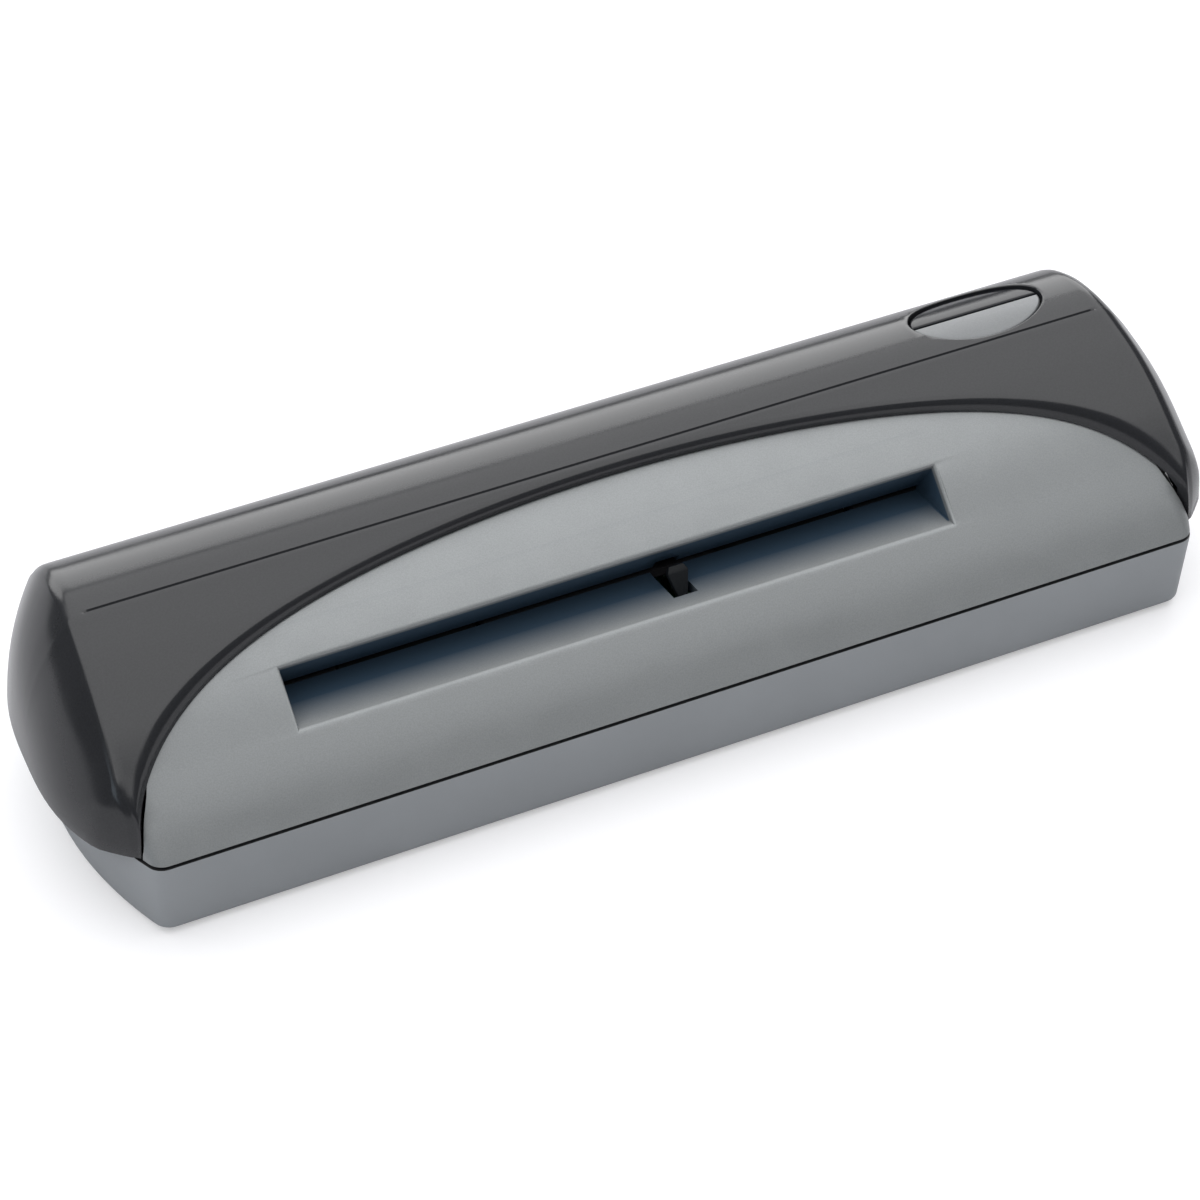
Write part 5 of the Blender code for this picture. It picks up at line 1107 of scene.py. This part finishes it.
def lever_arm(x, pivot, angle, sections):
    """An arm with softened edges: (distance, width, depth) sections at an angle from upright."""
    loops = []
    for distance, width, depth in sections:
        y = pivot[0] + distance * math.sin(angle)
        z = pivot[1] + distance * math.cos(angle)
        across_y, across_z = math.cos(angle) * depth / 2, -math.sin(angle) * depth / 2
        loops.append([(x + side * width / 2, y + face * across_y, z + face * across_z)
                      for side, face in ((-1, -1), (1, -1), (1, 1), (-1, 1))])
    bm = loft(loops)
    bmesh.ops.bevel(bm, geom=list(bm.edges), offset=0.15 * MM, offset_type="OFFSET", segments=2,
                    profile=0.5, affect="EDGES", material=-1, clamp_overlap=True)
    return bm


class SCANNER_OT_lever(bpy.types.Operator):
    """Makes the lever that senses a card in the slot"""

    bl_idname = "scanner.lever"
    bl_label = "Sensing lever"

    def execute(self, context):
        low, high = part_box("card_sensor_lever")
        x = (low.x + high.x) / 2
        joint = next(j for j in frame["joints"] if j["name"] == "sensing_lever_swing")
        pivot = joint["pos_m"][1:]
        form = Form("sensing_lever", rod(pivot, 1.5 * MM, x - 1.7 * MM, x + 1.7 * MM, axis="x"))
        form.join(rod(pivot, 0.9 * MM, x - 3.0 * MM, x + 3.0 * MM, axis="x", sides=24))
        form.join(lever_arm(x, pivot, LEVER_REST, [
            (0.0, 1.4 * MM, 1.2 * MM), (3.6 * MM, 1.4 * MM, 1.2 * MM),
            (7.6 * MM, 3.4 * MM, 1.2 * MM), (8.6 * MM, 2.4 * MM, 0.6 * MM)]))
        form.join(lever_arm(x, pivot, LEVER_REST + math.radians(124), [
            (0.0, 1.4 * MM, 1.8 * MM), (8.6 * MM, 1.4 * MM, 1.8 * MM)]))
        surface = moulded("lever_black_plastic", context.scene.scanner_finishes.lever, 0.5,
                          specular=0.2)
        finish_piece(form.obj, surface, "sensing_lever",
                     ["card_sensor_lever"])
        return {"FINISHED"}


class SCANNER_OT_feet(bpy.types.Operator):
    """Makes the four rubber feet"""

    bl_idname = "scanner.feet"
    bl_label = "Feet"

    def execute(self, context):
        surface = moulded("foot_rubber", context.scene.scanner_finishes.rubber, 0.78, 3200.0,
                          0.03 * MM, 0.12, specular=0.3)
        edge, support = 0.45 * MM, 0.2 * MM
        for name in CORNERS:
            low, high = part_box("foot_" + name)
            middle, radius = (low + high) / 2, (high.x - low.x) / 2
            profile = [(0.0, 0.0), (radius * 0.5, 0.0), (radius - edge - support, 0.0)]
            profile += [(radius - inset, rise) for inset, rise in quarter(edge)]
            profile += [(radius, high.z), (radius - SMALL_GAP, high.z), (0.0, high.z)]
            form = Form("foot_pad_" + name, turned(profile, middle, 48))
            finish_piece(form.obj, surface, "case", ["foot_" + name])
        return {"FINISHED"}


class SCANNER_OT_screws(bpy.types.Operator):
    """Makes the four case screws with their cross recesses"""

    bl_idname = "scanner.screws"
    bl_label = "Case screws"

    def execute(self, context):
        surface = metal("screw_zinc", context.scene.scanner_finishes.steel, 0.34, scale=1400.0)
        thick, radius, edge, support = 1.6 * MM, 1.2 * MM, 0.35 * MM, 0.2 * MM
        point, cross_half, cross_length, cross_depth = 1.0 * MM, 0.36 * MM, 3.4, 0.8 * MM
        for name in CORNERS:
            low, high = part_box("case_screw_" + name)
            middle, head = (low + high) / 2, (high.x - low.x) / 2
            profile = [(0.0, low.z), (head - edge - support, low.z)]
            profile += [(head - inset, low.z + rise) for inset, rise in quarter(edge)]
            profile += [(head, low.z + thick), (radius, low.z + thick), (radius, high.z - point),
                        (0.0, high.z)]
            form = Form("cross_screw_" + name, turned(profile, middle, 40))
            for width, depth in ((1, cross_length), (cross_length, 1)):
                across, along = cross_half * width, cross_half * depth
                form.cut(block((middle.x - across, middle.y - along, low.z - PAST),
                               (middle.x + across, middle.y + along, low.z + cross_depth)))
            finish_piece(form.obj, surface, "case", ["case_screw_" + name])
        return {"FINISHED"}


class SCANNER_OT_works(bpy.types.Operator):
    """Gives the parts inside the case their finishes"""

    bl_idname = "scanner.works"
    bl_label = "Works inside"

    def execute(self, context):
        use = context.scene.scanner_finishes
        along = (0.15, 2.0, 2.0)
        rubber = moulded("roller_rubber_ground", use.rubber, 0.72, 2800.0, 0.03 * MM, 0.1)
        steel = metal("shaft_ground_steel", use.steel, 0.24, (3.0, 0.3, 0.3), 1200.0)
        plate = metal("plated_sheet", use.steel, 0.38, along, 700.0)
        brass = metal("turned_brass", use.brass, 0.30, along, 1100.0)
        nylon = moulded("gear_nylon_moulded", use.nylon, 0.42, 1800.0, 0.01 * MM, 0.04)
        black = moulded("black_moulded", use.black, 0.46)
        board = moulded("board_solder_resist", use.board, 0.36, 900.0, 0.015 * MM, 0.12, 0.2)
        chip = moulded("chip_resin", use.black, 0.55, 3000.0, 0.012 * MM, 0.1)
        white = moulded("white_strip", (0.78, 0.78, 0.76), 0.55, 2000.0, 0.008 * MM, 0.02)
        clear = moulded("led_lens", (0.72, 0.76, 0.68), 0.2, 1200.0, 0.004 * MM, 0.03, 0.4)
        sleeve = moulded("capacitor_sleeve_blue", (0.04, 0.05, 0.12), 0.3, 1500.0, 0.008 * MM,
                         0.08, 0.3)
        glass = moulded("sensor_glass_tint", (0.30, 0.36, 0.35), 0.06, 300.0, 0.002 * MM, 0.03, 0.6)
        rows = ("feed", "exit")
        sides = ("left", "right")
        dress(rubber, *[f"{row}_roller_{side}" for row in rows for side in sides])
        dress(nylon, *[f"pinch_roller_{row}_{side}" for row in rows for side in sides])
        dress(brass, "motor_pinion", *[f"{row}_bush_{side}" for row in rows for side in sides])
        dress(steel, "feed_roller_shaft", "exit_roller_shaft", "pinch_axle_feed",
              "pinch_axle_exit", "reduction_gear_axle", "idler_gear_axle")
        dress(nylon, "feed_gear", "exit_gear", "idler_gear", "reduction_gear")
        dress(plate, "upper_guide_front", "upper_guide_rear", "motor_bracket", "drive_motor",
              "usb_socket")
        dress(black, "scan_frame", "image_sensor", "motor_end_cap", "button_switch", "usb_tongue")
        dress(chip, "controller_chip", "memory_chip", "card_sensor")
        dress(board, "main_board", "button_board")
        dress(white, "sensor_connector", "motor_connector", "switch_plunger", "reference_strip")
        dress(clear, "status_led")
        dress(sleeve, "capacitor")
        dress(glass, "sensor_glass")
        return {"FINISHED"}


# Stage

def aim(obj, target):
    direction = Vector(target) - obj.location
    obj.rotation_euler = direction.to_track_quat("-Z", "Y").to_euler()


def add_lamp(name, place, target, size, power, tint=(1.0, 1.0, 1.0)):
    """A soft rectangular lamp that points at the target."""
    lamp = bpy.data.lights.new(name, "AREA")
    lamp.shape = "RECTANGLE"
    lamp.size, lamp.size_y = size
    lamp.energy = power
    lamp.color = tint
    obj = placed(name, lamp)
    obj.location = place
    aim(obj, target)


def add_camera(stage):
    """The camera at the angles and the distance of the stage's settings."""
    camera = bpy.data.cameras.new("camera")
    camera.lens = stage.lens
    camera.sensor_width = 36.0
    camera.shift_x, camera.shift_y = CAMERA_SHIFT
    camera.clip_start, camera.clip_end = 0.01, 20.0
    obj = placed("camera", camera)
    across = math.cos(stage.elevation)
    back = Vector((math.sin(stage.azimuth) * across, -math.cos(stage.azimuth) * across,
                   math.sin(stage.elevation)))
    obj.location = Vector(CAMERA_TARGET) + back * stage.distance
    obj.rotation_euler = (-back).to_track_quat("-Z", "Y").to_euler()
    bpy.context.scene.camera = obj


def blend_for_camera(tree, seen, used, output):
    """Shows one shader to the camera and uses the other for the light."""
    path = node(tree, "LightPath", {})
    mixed = node(tree, "MixShader", {0: path.outputs["Is Camera Ray"], 1: used, 2: seen})
    tree.links.new(mixed.outputs[0], output.inputs["Surface"])


def floor_finish(colour):
    """A pale floor that keeps the shadow, and looks white where nothing shades it."""
    made = bpy.data.materials.new("floor_pale")
    made.use_nodes = True
    tree = made.node_tree
    shader = tree.nodes["Principled BSDF"]
    for socket, value in (("Base Color", (*colour, 1.0)), ("Roughness", 0.9),
                          ("Specular IOR Level", 0.1)):
        shader.inputs[socket].default_value = value
    place = node(tree, "TexCoord", {}).outputs["Object"]
    reach = node(tree, "VectorMath", {0: place}, operation="LENGTH").outputs["Value"]
    glow = node(tree, "MapRange", {"From Min": 0.3, "From Max": 1.2, "To Min": 0.42,
                                   "To Max": 1.0, "Value": reach}).outputs["Result"]
    white = node(tree, "Emission", {"Strength": glow})
    both = node(tree, "AddShader", {0: shader.outputs[0], 1: white.outputs[0]})
    blend_for_camera(tree, both.outputs[0], shader.outputs[0], tree.nodes["Material Output"])
    return made


def add_world(strength):
    """Even light from all round, behind a background that the camera sees as white."""
    world = bpy.context.scene.world or bpy.data.worlds.new("studio")
    bpy.context.scene.world = world
    world.use_nodes = True
    tree = world.node_tree
    tree.nodes.clear()
    even = node(tree, "Background", {"Strength": strength, "Color": (0.97, 0.985, 1.0, 1.0)})
    white = node(tree, "Background", {"Strength": 1.0, "Color": (1.0, 1.0, 1.0, 1.0)})
    blend_for_camera(tree, white.outputs[0], even.outputs[0], node(tree, "OutputWorld", {}))


class SCANNER_OT_stage(bpy.types.Operator):
    """Makes the pale floor, the soft lamps and the camera"""

    bl_idname = "scanner.stage"
    bl_label = "Stage"

    def execute(self, context):
        stage = context.scene.scanner_stage
        bm = bmesh.new()
        bmesh.ops.create_grid(bm, x_segments=4, y_segments=4, size=3.0)
        bmesh.ops.translate(bm, vec=(0.0, 0.0, -0.05 * MM), verts=bm.verts)
        floor = helper(bm, "floor")
        floor.data.materials.append(floor_finish(stage.floor))
        add_world(stage.sky)
        middle = (0.0, 0.0, 0.02)
        add_lamp("lamp_above", (0.0, 0.1, 1.0), (0.0, 0.1, 0.0), (2.6, 2.0), stage.above)
        add_lamp("lamp_left", (-0.9, -0.35, 0.35), middle, (0.25, 0.25), 0.25, (0.72, 0.87, 1.0))
        add_lamp("lamp_behind", (0.2, 1.3, 0.55), middle, (2.4, 0.8), stage.behind)
        add_camera(stage)
        context.scene.view_settings.view_transform = "Standard"
        return {"FINISHED"}


class SCANNER_PT_panel(bpy.types.Panel):
    """Lists the scanner's operators and settings"""

    bl_label = "Card scanner"
    bl_space_type = "VIEW_3D"
    bl_region_type = "UI"
    bl_category = "Card scanner"

    def draw(self, context):
        for name in ("scanner_case", "scanner_slot", "scanner_oval", "scanner_finishes",
                     "scanner_stage"):
            settings = getattr(context.scene, name)
            column = self.layout.column(align=True)
            for key in settings.__annotations__:
                column.prop(settings, key)
        for operator in OPERATORS:
            self.layout.operator(operator.bl_idname)


OPERATORS = (
    SCANNER_OT_base, SCANNER_OT_panel, SCANNER_OT_cover, SCANNER_OT_button, SCANNER_OT_window,
    SCANNER_OT_lever, SCANNER_OT_feet, SCANNER_OT_screws, SCANNER_OT_works, SCANNER_OT_stage,
)
GROUPS = {
    "scanner_case": CaseSizes, "scanner_slot": SlotSizes, "scanner_oval": OvalSizes,
    "scanner_finishes": Finishes, "scanner_stage": StageSettings,
}


def register():
    for group in GROUPS.values():
        bpy.utils.register_class(group)
    for operator in OPERATORS:
        bpy.utils.register_class(operator)
    bpy.utils.register_class(SCANNER_PT_panel)
    for name, group in GROUPS.items():
        setattr(bpy.types.Scene, name, PointerProperty(type=group))


def unregister():
    for name in GROUPS:
        delattr(bpy.types.Scene, name)
    bpy.utils.unregister_class(SCANNER_PT_panel)
    for operator in reversed(OPERATORS):
        bpy.utils.unregister_class(operator)
    for group in reversed(list(GROUPS.values())):
        bpy.utils.unregister_class(group)


def main():
    register()
    for operator in OPERATORS:
        area, name = operator.bl_idname.split(".")
        getattr(getattr(bpy.ops, area), name)()
    bpy.context.view_layer.update()


if __name__ == "__main__":
    main()
